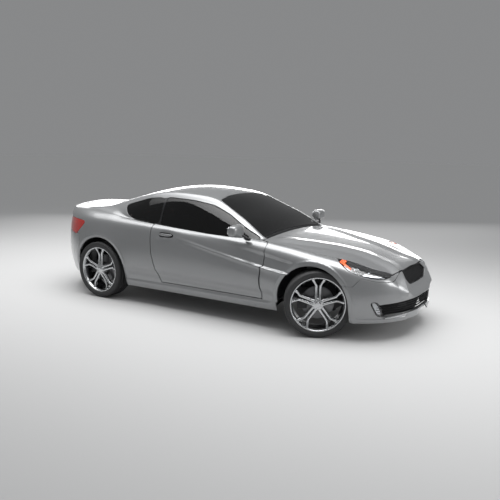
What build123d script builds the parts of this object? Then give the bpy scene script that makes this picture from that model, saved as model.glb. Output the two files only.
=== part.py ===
from build123d import *
import math
import os

# A two-door coupe at full size: X forward, Y to its left, Z up, floor at Z 0, millimetres.
# Driving dimensions of the whole car
LENGTH = 4630.0
WHEELBASE = 2820.0
FRONT_OVERHANG = 840.0
NOSE_X = LENGTH / 2
TAIL_X = -LENGTH / 2
FRONT_AXLE_X = NOSE_X - FRONT_OVERHANG
REAR_AXLE_X = FRONT_AXLE_X - WHEELBASE
SHUT_GAP = 6.0
DOOR_GAP = 7.0
DOOR_GLASS_GAP = 8.5
SEAT_GAP = 0.3
RUNNING_GAP = 0.05
BRAKE_GAP = 5.0
FAR = 3000.0
LEAST_VOLUME = 500.0

# Walls and panes
SKIN = 38.0
PILLAR_WALL = 45.0
GLASS = 5.0
GLASS_INSET = 4.0
SHOULDER_BULGE = 0.16
SHOULDER_SHARE = 0.2
EDGE_SHARE = 0.7
OPEN_BASE = 400.0
LEAST_HALF_WIDTH = 20.0
DOOR_INNER_Y = 768.0
FLOOR_Z = 215.0
FLOOR_THICKNESS = 20.0
CABIN_HALF_WIDTH = 700.0

# Wheels
FRONT_TYRE_RADIUS = 334.0
REAR_TYRE_RADIUS = 339.0
FRONT_TYRE_WIDTH = 225.0
REAR_TYRE_WIDTH = 245.0
FRONT_TRACK = 1595.0
REAR_TRACK = 1615.0
TYRE_BORE = 258.0
FLANGE_RADIUS = 272.0
FLANGE_INSET = 18.0
FLANGE_WIDTH = 8.0
RIM_WALL = 12.0
HUB_RADIUS = 68.0
HUB_LENGTH = 45.0
SPOKE_PAIRS = 5
SPOKE_DEPTH = 34.0
SPOKE_INNER_WIDTH = 26.0
SPOKE_OUTER_WIDTH = 34.0
SPOKE_INNER_ANGLE = 11.0
SPOKE_OUTER_ANGLE = 10.5
SPINDLE_RADIUS = 20.0
DISC_RADIUS = 165.0
DISC_THICKNESS = 26.0
DISC_HAT_RADIUS = 80.0
FRONT_ARCH_RADIUS = 372.0
REAR_ARCH_RADIUS = 392.0
LINER_WALL = 6.0
FRONT_LINER_RADIUS = 386.0
REAR_LINER_RADIUS = 398.0
FRONT_LINER_INNER_Y = 500.0
REAR_LINER_INNER_Y = 600.0

# Steering: the front wheels rest turned to the left, as the photograph shows them
STEER_REST = 28.0
KINGPIN_Y = 735.0
KINGPIN_RADIUS = 14.0
KNUCKLE_RADIUS = 22.0
ARM_HALF_WIDTH = 20.0
ARM_EYE_RADIUS = 26.0
ARM_THICKNESS = 22.0
ARM_RISE = 122.0
TOWER_INNER_Y = 440.0
TOWER_OUTER_Y = 490.0

# Doors
DOOR_HINGE_X = 840.0
DOOR_HINGE_Y = 835.0
DOOR_SWING_RADIUS = 88.0
DOOR_PIN_RADIUS = 12.0
DOOR_PIN_REACH = 55.0
DOOR_SILL_Z = 305.0
SILL_BOTTOM_Z = 206.0
SILL_FRONT_X = 1085.0
JAMB_REAR_X = -690.0
JAMB_TOP_Z = 940.0

# Bonnet and boot lid
BONNET_REAR_X = 862.0
BONNET_FRONT_X = 2160.0
BONNET_FRONT_GAP = 16.0
BONNET_PIVOT_X = 900.0
BONNET_PIVOT_Z = 868.0
BONNET_PIN_INNER_Y = 715.0
BONNET_PIN_LENGTH = 45.0
BOOT_FRONT_X = -1640.0
BOOT_HALF_WIDTH = 575.0
BOOT_LOW_Z = 815.0
BOOT_PIVOT_X = -1665.0
BOOT_PIVOT_Z = 1029.0
BOOT_DECK_GAP = 32.0
BOOT_SWING_GAP = 22.0
LID_PIN_RADIUS = 6.0
LID_PIN_REACH = 34.0
BOOT_PIN_LENGTH = 60.0
REAR_BUMPER_TOP_Z = 745.0
REAR_BUMPER_FRONT_X = -1690.0

# Inside
FIREWALL_X = 960.0
FIREWALL_WALL = 25.0
COWL_FRONT_X = 811.0
COWL_HALF_WIDTH = 640.0
COWL_REAR_X = 775.0
TRAY_TOP_Z = 812.0
TRAY_BOTTOM_Z = 800.0
RAIL_INNER_Y = 380.0
RAIL_TOP_Z = 380.0
RAIL_BOTTOM_Z = 300.0
BOOT_FLOOR_Z = 400.0
BOOT_FLOOR_WALL = 30.0
BOOT_FLOOR_HALF_WIDTH = 480.0
SHELF_FRONT_X = -1150.0
TUNNEL_HALF_WIDTH = 110.0
TUNNEL_TOP_Z = 330.0
REAR_BEAM_X = -2130.0
FRONT_BEAM_X = 2140.0
CUSHION_TOP_Z = 470.0
BACKREST_DEPTH = 120.0
SEAT_FILLET = 12.0
HEADREST_HALF_WIDTH = 130.0
FLOOR_REAR_X = -985.0
KICK_UP_WALL = 20.0
BOOT_SILL_DEPTH = 100.0
BOOT_SILL_HEIGHT = 110.0
DASH_INSET = 10.0
DASH_BACK_X = 780.0
CONSOLE_REAR_X = -300.0
CONSOLE_FRONT_X = 640.0
CONSOLE_HEIGHT = 110.0
CONSOLE_INSET = 20.0
STACK_REAR_X = 620.0
STACK_HALF_WIDTH = 80.0
STACK_TOP_Z = 640.0
DECK_HALF_WIDTH = 515.0
DECK_LOW_Z = 900.0
DECK_FRONT_X = -1440.0
HOUSE_FOOT_Z = 880.0
HOUSE_WALL_Y = 730.0
BOOT_DECK_LAP = 26.0
QUARTER_REAR_X = -2260.0
TAIL_LAMP_FRONT_X = -1620.0
STEERING_CENTRE = (420.0, 370.0, 835.0)
STEERING_TILT = 22.0
STEERING_RIM_RADIUS = 185.0
STEERING_GRIP_RADIUS = 15.0
STEERING_HUB_RADIUS = 48.0
STEERING_HUB_LENGTH = 50.0
STEERING_HUB_DROP = 12.0
STEERING_SPOKE_ANGLES = (0, 180, 270)
STEERING_SPOKE_WIDTH = 34.0
STEERING_SPOKE_THICKNESS = 12.0
SHAFT_START = 120.0
SHAFT_LENGTH = 200.0
COLUMN_RADIUS = 32.0
SHAFT_RADIUS = 14.0
COLUMN_START = 60.0
COLUMN_LENGTH = 400.0

# Under the car
ENGINE_BOX = (1130.0, 1750.0, -300.0, 300.0, 260.0, 700.0)
SUBFRAME_LOW_Z = 190.0
CROSS_HALF = 55.0
TOWER_HALF = 75.0
DAMPER_PLATE = 15.0
TOWER_TOP_Z = 690.0
DAMPER_Y = 575.0
DAMPER_RADIUS = 28.0
CARRIER_INSET = 90.0
CARRIER_LENGTH = 40.0
CARRIER_RADIUS = 60.0
SPINDLE_LENGTH = 150.0
REAR_BEAM_RADIUS = 38.0
DIFF_RADIUS = 120.0
TRAILING_ARM_FRONT_X = -1006.0
EXHAUST_Z = 176.0
EXHAUST_RADIUS = 30.0
TAIL_PIPE_RADIUS = 38.0
TAIL_PIPE_Y = 260.0
TAIL_PIPE_Z = 290.0
TAIL_PIPE_X = -2140.0
TAIL_PIPE_LENGTH = 260.0
TAIL_PIPE_WALL = 3.0
TAIL_PIPE_BORE = 200.0
TAIL_PIPE_BORE_SHIFT = 90.0
SILENCER_BOX = (-2080.0, -1800.0, -330.0, 330.0, 225.0, 390.0)
SILENCER_FILLET = 60.0
SILENCER_HANGER = (-2060.0, -2040.0, -20.0, 20.0, 380.0)
DISC_INBOARD_Y = 31.0
CALIPER_WALL = 20.0
CALIPER_OUTER_X = 200.0
CALIPER_INNER_X = 105.0
CALIPER_HALF_HEIGHT = 60.0
CALIPER_ARM_HALF = 28.0
HUB_CAP = 15.0
STUB_REACH = 60.0
JACK_XS = (-860.0, 700.0)
JACK_Y = 770.0
JACK_HALF = 35.0
JACK_DROP = 10.0

# Outside fittings
GRILLE_DEPTH = 18.0
GRILLE_RIM = 14.0
UPPER_GRILLE_LINE = ((2232.0, 505.0), (2150.0, 652.0))
LOWER_GRILLE_X = 2302.0
LOWER_GRILLE_RADIUS = 1431.0
LAMP_INNER_Y = 250.0
PANE_INNER_Y = 480.0
DOOR_TOP_Z = 1000.0
WING_REAR_X = 880.0
WING_LOW_Z = 290.0
BONNET_LOW_Z = 520.0
WINDSCREEN_LOW_Z = 800.0
REAR_GLASS_LOW_Z = 1040.0
HANDLE_X = -350.0
HANDLE_Z = 847.0
HANDLE_LENGTH = 190.0
HANDLE_HEIGHT = 24.0
HANDLE_FOOT = 26.0
HANDLE_STAND_OFF = 16.0
HANDLE_THICKNESS = 12.0
MIRROR_X = 650.0
MIRROR_Y = 975.0
MIRROR_Z = 985.0
MIRROR_SIZE = (110.0, 200.0, 130.0)
MIRROR_FILLET = 38.0
MIRROR_ARM_INNER_Y = 815.0
MIRROR_ARM_LAP = 20.0
MIRROR_ARM = [(10, MIRROR_Z - 20), (45, MIRROR_Z - 20), (95, 830), (-5, 830)]

# columns: centre y, half width, front x, back x at the crease, top x, top z
SEATS = [
    (-370, 250, 150, -330, -510, 1000),
    (370, 250, 150, -330, -510, 1000),
    (0, 580, -620, -960, -1085, 940),
]
# The headrest's side view from the top of its backrest (x, z)
HEADREST = [(50, -20), (40, 120), (-20, 125), (-30, -20)]

# Cross-sections of the lower body, one row per station from tail to nose.
# columns: x, bottom y, bottom z, side y, side z, shoulder y, shoulder z, edge y, edge z, centre z
BODY_STATIONS = [
    (TAIL_X, 180, 330, 215, 560, 190, 735, 160, 790, 808),
    (TAIL_X + 40, 340, 280, 390, 560, 355, 860, 310, 955, 985),
    (TAIL_X + 115, 480, 250, 545, 560, 505, 895, 445, 1005, 1046),
    (-2090, 590, 235, 668, 570, 625, 905, 550, 1025, 1064),
    (-1950, 690, 230, 775, 575, 735, 910, 610, 1034, 1072),
    (-1700, 820, 222, 892, 585, 845, 910, 655, 1034, 1075),
    (REAR_AXLE_X, 865, 212, 932, 600, 868, 902, 700, 1005, 1060),
    (-900, 855, 205, 915, 560, 868, 880, 750, 965, 1005),
    (-300, 845, 200, 903, 540, 868, 850, 785, 925, 960),
    (300, 845, 195, 900, 530, 868, 820, 780, 895, 940),
    (880, 845, 195, 908, 530, 872, 782, 745, 882, 918),
    (FRONT_AXLE_X, 850, 195, 925, 530, 880, 728, 742, 806, 848),
    (1800, 815, 190, 872, 480, 828, 670, 680, 738, 785),
    (2000, 710, 190, 770, 430, 738, 602, 605, 670, 726),
    (2120, 600, 190, 660, 400, 636, 570, 530, 636, 688),
    (2205, 480, 192, 538, 380, 522, 505, 452, 560, 594),
    (2265, 350, 194, 400, 350, 390, 430, 348, 458, 476),
    (2300, 240, 198, 275, 335, 268, 390, 240, 412, 425),
    (NOSE_X, 160, 206, 185, 330, 178, 368, 160, 386, 394),
]

# Cross-sections of the glasshouse, from the rear deck to the scuttle, in the same columns
GLASSHOUSE_STATIONS = [
    (-1760, 640, 700, 640, 900, 610, 1000, 560, 1030, 1040),
    (-1450, 770, 700, 700, 960, 635, 1050, 570, 1085, 1128),
    (-1150, 815, 700, 715, 1010, 600, 1150, 535, 1188, 1232),
    (-800, 840, 700, 730, 1030, 590, 1232, 520, 1280, 1328),
    (-450, 850, 700, 745, 1030, 592, 1262, 520, 1312, 1364),
    (-150, 850, 700, 750, 1020, 590, 1250, 515, 1295, 1342),
    (120, 850, 700, 750, 1000, 578, 1208, 505, 1250, 1284),
    (350, 850, 700, 745, 980, 612, 1120, 545, 1150, 1186),
    (600, 850, 700, 752, 930, 672, 1008, 610, 1030, 1064),
    (815, 830, 700, 760, 850, 715, 888, 660, 905, 945),
    (1000, 800, 660, 740, 780, 700, 812, 640, 828, 850),
]
ROOF_HALF_WIDTH = 508.0
ROOF_REAR_X = -900.0
ROOF_FRONT_X = 110.0

# Side-view outlines (x, z)
DOOR_REAR_EDGE = [(-575, DOOR_TOP_Z), (-562, 800), (-535, 620), (-480, 440), (-400, DOOR_SILL_Z)]
DOOR_GLASS = [(800, 780), (800, 900), (560, 1006), (350, 1108), (125, 1190), (-150, 1229), (-450, 1240),
              (-520, 1238), (-470, 780)]
QUARTER_GLASS = [(-552, 1240), (-800, 1216), (-1095, 1130), (-1130, 1105), (-1040, 1010), (-880, 965),
                 (-506, 940)]
HEADLAMP = [(1640, 795), (1760, 720), (1905, 640), (2060, 596), (2172, 588), (2172, 700), (1900, 850)]
FRONT_BUMPER_OUTLINE = [(1700, 0), (1700, 548), (1880, 548), (1940, 624), (2060, 590), (2172, 582),
                        (2172, 900), (2500, 900), (2500, 0)]

# Front-view outlines (y, z): half outlines start and end on the centre line, the lamps are the right ones
UPPER_GRILLE_HALF = [(0, 515), (215, 515), (300, 640), (0, 648)]
LOWER_GRILLE_HALF = [(0, 270), (440, 270), (500, 300), (500, 420), (0, 440)]
FOG_LAMP = [(-560, 285), (-640, 275), (-690, 395), (-590, 385)]
TAIL_LAMP = [(-420, 800), (-470, 925), (-900, 960), (-900, 875), (-640, 790)]

# columns: half outline, upright bars, cross bars, bar width
GRILLES = [
    (UPPER_GRILLE_HALF, 9, 3, 9.0),
    (LOWER_GRILLE_HALF, 4, 4, 12.0),
]

# The rear suspension's blocks on the left. columns: x low, x high, y low, y high, z low, z high
REAR_LINKS = [
    (REAR_AXLE_X - 60, REAR_AXLE_X + 60, 300, 360, REAR_TYRE_RADIUS, BOOT_FLOOR_Z - SEAT_GAP),
    (REAR_AXLE_X, TRAILING_ARM_FRONT_X, 560, 610, REAR_TYRE_RADIUS - 40, REAR_TYRE_RADIUS - 5),
    (TRAILING_ARM_FRONT_X - 40, TRAILING_ARM_FRONT_X, 460, 610, REAR_TYRE_RADIUS - 70, REAR_TYRE_RADIUS - 5),
]

# columns: place, axle x, tyre radius, tyre width, track
WHEELS = [
    ("front", FRONT_AXLE_X, FRONT_TYRE_RADIUS, FRONT_TYRE_WIDTH, FRONT_TRACK),
    ("rear", REAR_AXLE_X, REAR_TYRE_RADIUS, REAR_TYRE_WIDTH, REAR_TRACK),
]

# Top-view outlines (x, y) of the right half
WINDSCREEN_HALF = [(935, 0), (935, 655), (815, 668), (600, 622), (350, 556), (132, 505), (112, 0)]
REAR_GLASS_HALF = [(-915, 0), (-905, 500), (-1200, 520), (-1480, 545), (-1560, 520), (-1590, 0)]
BONNET_SIDE = [(BONNET_REAR_X - 12, 742), (1150, 757), (FRONT_AXLE_X, 742), (1640, 726), (1800, 680),
               (2000, 600), (BONNET_FRONT_X - 20, 470)]


def section(row, inset):
    """One closed cross-section: a side arc, a shoulder arc and a crown arc, mirrored, on a flat base."""
    x, by, bz, sy, sz, hy, hz, ey, ez, cz = row
    low = bz if inset < SKIN / 2 else bz - OPEN_BASE
    lean = EDGE_SHARE * inset
    x = x * (NOSE_X - inset) / NOSE_X
    profile = [(by - inset, low), (sy - inset, sz), (hy - inset, hz - SHOULDER_SHARE * inset),
               (ey - lean, ez - lean)]
    right = [Vector(x, -max(y, LEAST_HALF_WIDTH), z) for y, z in profile]
    left = [Vector(x, max(y, LEAST_HALF_WIDTH), z) for y, z in profile]
    crown = Vector(x, 0, cz - inset)
    return Wire([
        Edge.make_line(left[0], right[0]),
        Edge.make_three_point_arc(right[0], right[1], right[2]),
        shoulder_arc(right[2], right[3]),
        Edge.make_three_point_arc(right[3], crown, left[3]),
        shoulder_arc(left[3], left[2]),
        Edge.make_three_point_arc(left[2], left[1], left[0]),
    ])


def shoulder_arc(start, end):
    """The rounded shoulder: an arc that stands proud of its chord by a sixth of its length."""
    chord = end - start
    outward = Vector(0, -chord.Z, chord.Y).normalized()
    if outward.Z < 0:
        outward = outward * -1
    return Edge.make_three_point_arc(start, (start + end) * 0.5 + outward * chord.length * SHOULDER_BULGE,
                                     end)


def hull(stations, inset=0.0):
    return Solid.make_loft([section(row, inset) for row in stations])


def block(x0, x1, y0, y1, z0, z1):
    return Pos((x0 + x1) / 2, (y0 + y1) / 2, (z0 + z1) / 2) * Box(abs(x1 - x0), abs(y1 - y0), abs(z1 - z0))


def prism(points, axis, low, high):
    """A straight prism: points lie in the plane across axis, in X, Y, Z order."""
    places = {"X": lambda a, b: (low, a, b), "Y": lambda a, b: (a, low, b), "Z": lambda a, b: (a, b, low)}
    way = {"X": (high - low, 0, 0), "Y": (0, high - low, 0), "Z": (0, 0, high - low)}
    face = Face(Wire.make_polygon([Vector(*places[axis](a, b)) for a, b in points], close=True))
    return Solid.extrude(face, Vector(*way[axis]))


def offset_outline(points, amount):
    """The closed outline moved outwards by amount, with sharp corners."""
    area = sum(a[0] * b[1] - b[0] * a[1] for a, b in zip(points, points[1:] + points[:1]))
    turn = 1 if area > 0 else -1
    moved = []
    for before, here, after in zip(points[-1:] + points[:-1], points, points[1:] + points[:1]):
        normals = []
        for a, b in ((before, here), (here, after)):
            length = math.hypot(b[0] - a[0], b[1] - a[1])
            normals.append(((b[1] - a[1]) / length * turn, -(b[0] - a[0]) / length * turn))
        share = 1 + normals[0][0] * normals[1][0] + normals[0][1] * normals[1][1]
        moved.append((here[0] + amount * (normals[0][0] + normals[1][0]) / share,
                      here[1] + amount * (normals[0][1] + normals[1][1]) / share))
    return moved


def both_halves(half):
    """A top-view outline of the whole width from its half, which starts and ends on the centre line."""
    return half + [(x, -y) for x, y in reversed(half[1:-1])]


def both_sides(half):
    """A front-view outline of the whole width from its half, which starts and ends on the centre line."""
    return half + [(-y, z) for y, z in reversed(half[1:-1])]


def tube(x, y, z, radius, axis, length):
    """A cylinder centred on a point, along an axis."""
    turned = {"X": Rot(0, 90, 0), "Y": Rot(90, 0, 0), "Z": Rot(0, 0, 0)}[axis]
    return Pos(x, y, z) * turned * Cylinder(radius, length)


def arch(axle_x, axle_z, radius):
    """The right wheel arch as a cylinder from the centre line out, with its straight way down."""
    return tube(axle_x, -FAR / 2, axle_z, radius, "Y", FAR) + block(
        axle_x - radius, axle_x + radius, -FAR, 0, -axle_z, axle_z)


def solids_of(shape):
    return [s for s in shape.solids() if s.volume > LEAST_VOLUME]


def pair(shape):
    """The right-hand solids with their mirror images on the left."""
    right = solids_of(shape)
    return Compound(right + [s.mirror(Plane.XZ) for s in right])


def left_of(shape):
    return Compound([s.mirror(Plane.XZ) for s in solids_of(shape)])


def write(name, shape):
    made = solids_of(shape)
    export_step(Compound(made) if len(made) > 1 else made[0], f"parts/{name}.step")
    print(name, len(made))


RIGHT = block(-FAR, FAR, -FAR, 0, -500, FAR)


def bonnet_prism(gap=0.0):
    """The bonnet's plan. Its front edge swings a little forward as it rises, so the gap there is wider."""
    half = [(BONNET_REAR_X, 0)] + BONNET_SIDE + [(BONNET_FRONT_X, 380), (BONNET_FRONT_X, 0)]
    outline = offset_outline(both_halves(half), gap)
    plan = prism(outline, "Z", BONNET_LOW_Z, FAR)
    if gap == 0:
        return plan
    return plan + Pos(BONNET_FRONT_GAP - gap, 0, 0) * prism(outline, "Z", BONNET_LOW_Z, FAR)


def door_front(radius):
    """The upright cylinder about the door hinge in which the door's front end turns."""
    return tube(DOOR_HINGE_X, -DOOR_HINGE_Y, DOOR_HINGE_X, radius, "Z", 2 * DOOR_HINGE_X)


def door_region(gap=0.0):
    """The door's place in the side of the body, with its front end round about the hinge."""
    outline = [(DOOR_HINGE_X, DOOR_SILL_Z), (DOOR_HINGE_X, DOOR_TOP_Z)] + DOOR_REAR_EDGE
    inner_y = -DOOR_INNER_Y + gap
    plate = prism(offset_outline(outline, gap) if gap else outline, "Y", -FAR, inner_y)
    corner = block(DOOR_HINGE_X - 1, DOOR_HINGE_X + 2 * DOOR_SWING_RADIUS, -FAR, inner_y,
                   DOOR_SILL_Z - gap, DOOR_TOP_Z)
    return plate + (door_front(DOOR_SWING_RADIUS + gap) & corner)


def bumper_front_region():
    return prism(FRONT_BUMPER_OUTLINE, "Y", -FAR, FAR)


def lamp_prism(outline, shrink=0.0):
    return prism(offset_outline(outline, -shrink), "Y", -FAR, -LAMP_INNER_Y - shrink)


def front_prism(outline, shrink=0.0, x_low=1900.0):
    """A prism along X for what faces forward, from a (y, z) outline."""
    return prism(offset_outline(outline, -shrink), "X", x_low, FAR)


def make_shells():
    body = hull(BODY_STATIONS)
    house = hull(GLASSHOUSE_STATIONS)
    return {
        "body": body,
        "skin": body - hull(BODY_STATIONS, SKIN),
        "under_skin": hull(BODY_STATIONS, SKIN + SEAT_GAP),
        "house_skin": house - hull(GLASSHOUSE_STATIONS, PILLAR_WALL),
        "pane": hull(GLASSHOUSE_STATIONS, GLASS_INSET) - hull(GLASSHOUSE_STATIONS, GLASS_INSET + GLASS),
        "slot": hull(GLASSHOUSE_STATIONS, GLASS_INSET - SEAT_GAP)
        - hull(GLASSHOUSE_STATIONS, GLASS_INSET + GLASS + SEAT_GAP),
        "under_pane": hull(GLASSHOUSE_STATIONS, GLASS_INSET + GLASS + SEAT_GAP),
    }


def upper_grille_back():
    """A flat slanted slab a little behind the nose, which the upper grille's bars are cut from."""
    (low_x, low_z), (high_x, high_z) = UPPER_GRILLE_LINE
    outline = [(low_x, low_z), (high_x, high_z), (high_x - GRILLE_DEPTH, high_z),
               (low_x - GRILLE_DEPTH, low_z)]
    return prism(outline, "Y", -FAR, FAR)


def lower_grille_back():
    """A ring about an upright axis that follows the nose in plan, for the lower grille's bars."""
    centre_x = LOWER_GRILLE_X - LOWER_GRILLE_RADIUS
    outer = tube(centre_x, 0, 350, LOWER_GRILLE_RADIUS, "Z", 700)
    return outer - tube(centre_x, 0, 350, LOWER_GRILLE_RADIUS - GRILLE_DEPTH, "Z", 700)


def make_nose(s):
    """The bonnet, front wings, front bumper, lamps and grilles."""
    skin = s["skin"]
    right_skin = skin & RIGHT
    bonnet_cut = bonnet_prism(SHUT_GAP)
    arch_cut = arch(FRONT_AXLE_X, FRONT_TYRE_RADIUS, FRONT_ARCH_RADIUS)
    lamp = lamp_prism(HEADLAMP)
    bumper_zone = bumper_front_region()

    bonnet = skin & bonnet_prism()
    for side in (-1, 1):
        bonnet = bonnet - tube(BONNET_PIVOT_X, side * BONNET_PIN_INNER_Y, BONNET_PIVOT_Z,
                               LID_PIN_RADIUS + RUNNING_GAP, "Y", 4 * LID_PIN_REACH)
    wing = (right_skin & block(WING_REAR_X, NOSE_X, -FAR, 0, WING_LOW_Z, FAR)) - bonnet_cut - lamp
    wing = wing - prism(offset_outline(FRONT_BUMPER_OUTLINE, SEAT_GAP), "Y", -FAR, FAR) - arch_cut
    wing = wing - door_front(DOOR_SWING_RADIUS + DOOR_GAP) - block(0, BONNET_PIVOT_X, -650, 0, 0, FAR)
    wing = wing + tube(BONNET_PIVOT_X, -BONNET_PIN_INNER_Y - BONNET_PIN_LENGTH / 2, BONNET_PIVOT_Z,
                       LID_PIN_RADIUS, "Y", BONNET_PIN_LENGTH)

    bumper = (skin & bumper_zone) - bonnet_cut
    for cut in (arch_cut, lamp, front_prism(FOG_LAMP)):
        bumper = bumper - cut - cut.mirror(Plane.XZ)
    pieces = []
    backs = (upper_grille_back(), lower_grille_back())
    for (half, columns, rows, bar), back in zip(GRILLES, backs):
        outline = both_sides(half)
        bumper = bumper - front_prism(outline)
        low_z = min(z for y, z in outline)
        high_z = max(z for y, z in outline)
        wide = max(y for y, z in outline)
        bars = front_prism(outline, SEAT_GAP) - front_prism(outline, GRILLE_RIM)
        for i in range(columns):
            y = wide * (2 * (i + 1) / (columns + 1) - 1)
            bars = bars + block(1900, FAR, y - bar / 2, y + bar / 2, low_z, high_z)
        for i in range(rows):
            z = low_z + (high_z - low_z) * (i + 1) / (rows + 1)
            bars = bars + block(1900, FAR, -wide, wide, z - bar / 2, z + bar / 2)
        pieces += solids_of((back & bars & front_prism(outline, SEAT_GAP)) - bonnet_cut)
    lamps = [*pair((right_skin & lamp_prism(HEADLAMP, SEAT_GAP)) - bonnet_cut).solids(),
             *pair(right_skin & front_prism(FOG_LAMP, SEAT_GAP)).solids()]
    return {
        "bonnet": bonnet,
        "front_wings": pair(wing),
        "front_lamps": Compound(lamps),
        "front_bumper": bumper,
        "grilles": Compound(pieces),
    }


def make_tail(s):
    skin = s["skin"]
    lamp = prism(TAIL_LAMP, "X", -FAR, TAIL_LAMP_FRONT_X) - boot_prism(SHUT_GAP)
    small_lamp = prism(offset_outline(TAIL_LAMP, -SEAT_GAP), "X", -FAR, TAIL_LAMP_FRONT_X - SEAT_GAP)
    lid = skin & boot_prism()
    for side in (-1, 1):
        lid = lid - tube(BOOT_PIVOT_X, side * BOOT_HALF_WIDTH, BOOT_PIVOT_Z,
                         LID_PIN_RADIUS + RUNNING_GAP, "Y", 2 * LID_PIN_REACH)
    bumper = skin & block(-FAR, REAR_BUMPER_FRONT_X, -FAR, FAR, 0, REAR_BUMPER_TOP_Z)
    arch_cut = arch(REAR_AXLE_X, REAR_TYRE_RADIUS, REAR_ARCH_RADIUS)
    bumper = bumper - arch_cut - arch_cut.mirror(Plane.XZ)
    for side in (-1, 1):
        bumper = bumper - tube(TAIL_X, side * TAIL_PIPE_Y, TAIL_PIPE_Z, TAIL_PIPE_RADIUS + 10, "X", 400)
    deck = skin & block(BOOT_PIVOT_X + BOOT_DECK_GAP + BOOT_DECK_LAP, SHELF_FRONT_X,
                        -DECK_HALF_WIDTH + SEAT_GAP, DECK_HALF_WIDTH - SEAT_GAP, DECK_LOW_Z, FAR)
    return {
        "boot_lid": lid,
        "rear_bumper": bumper,
        "tail_lamps": pair((skin & RIGHT & small_lamp) - boot_prism(SHUT_GAP + SEAT_GAP)),
        "rear_deck": deck,
    }, lamp


def boot_prism(gap=0.0):
    half = BOOT_HALF_WIDTH + gap
    return block(-FAR, BOOT_FRONT_X + gap, -half, half, BOOT_LOW_Z - gap, FAR)


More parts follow.
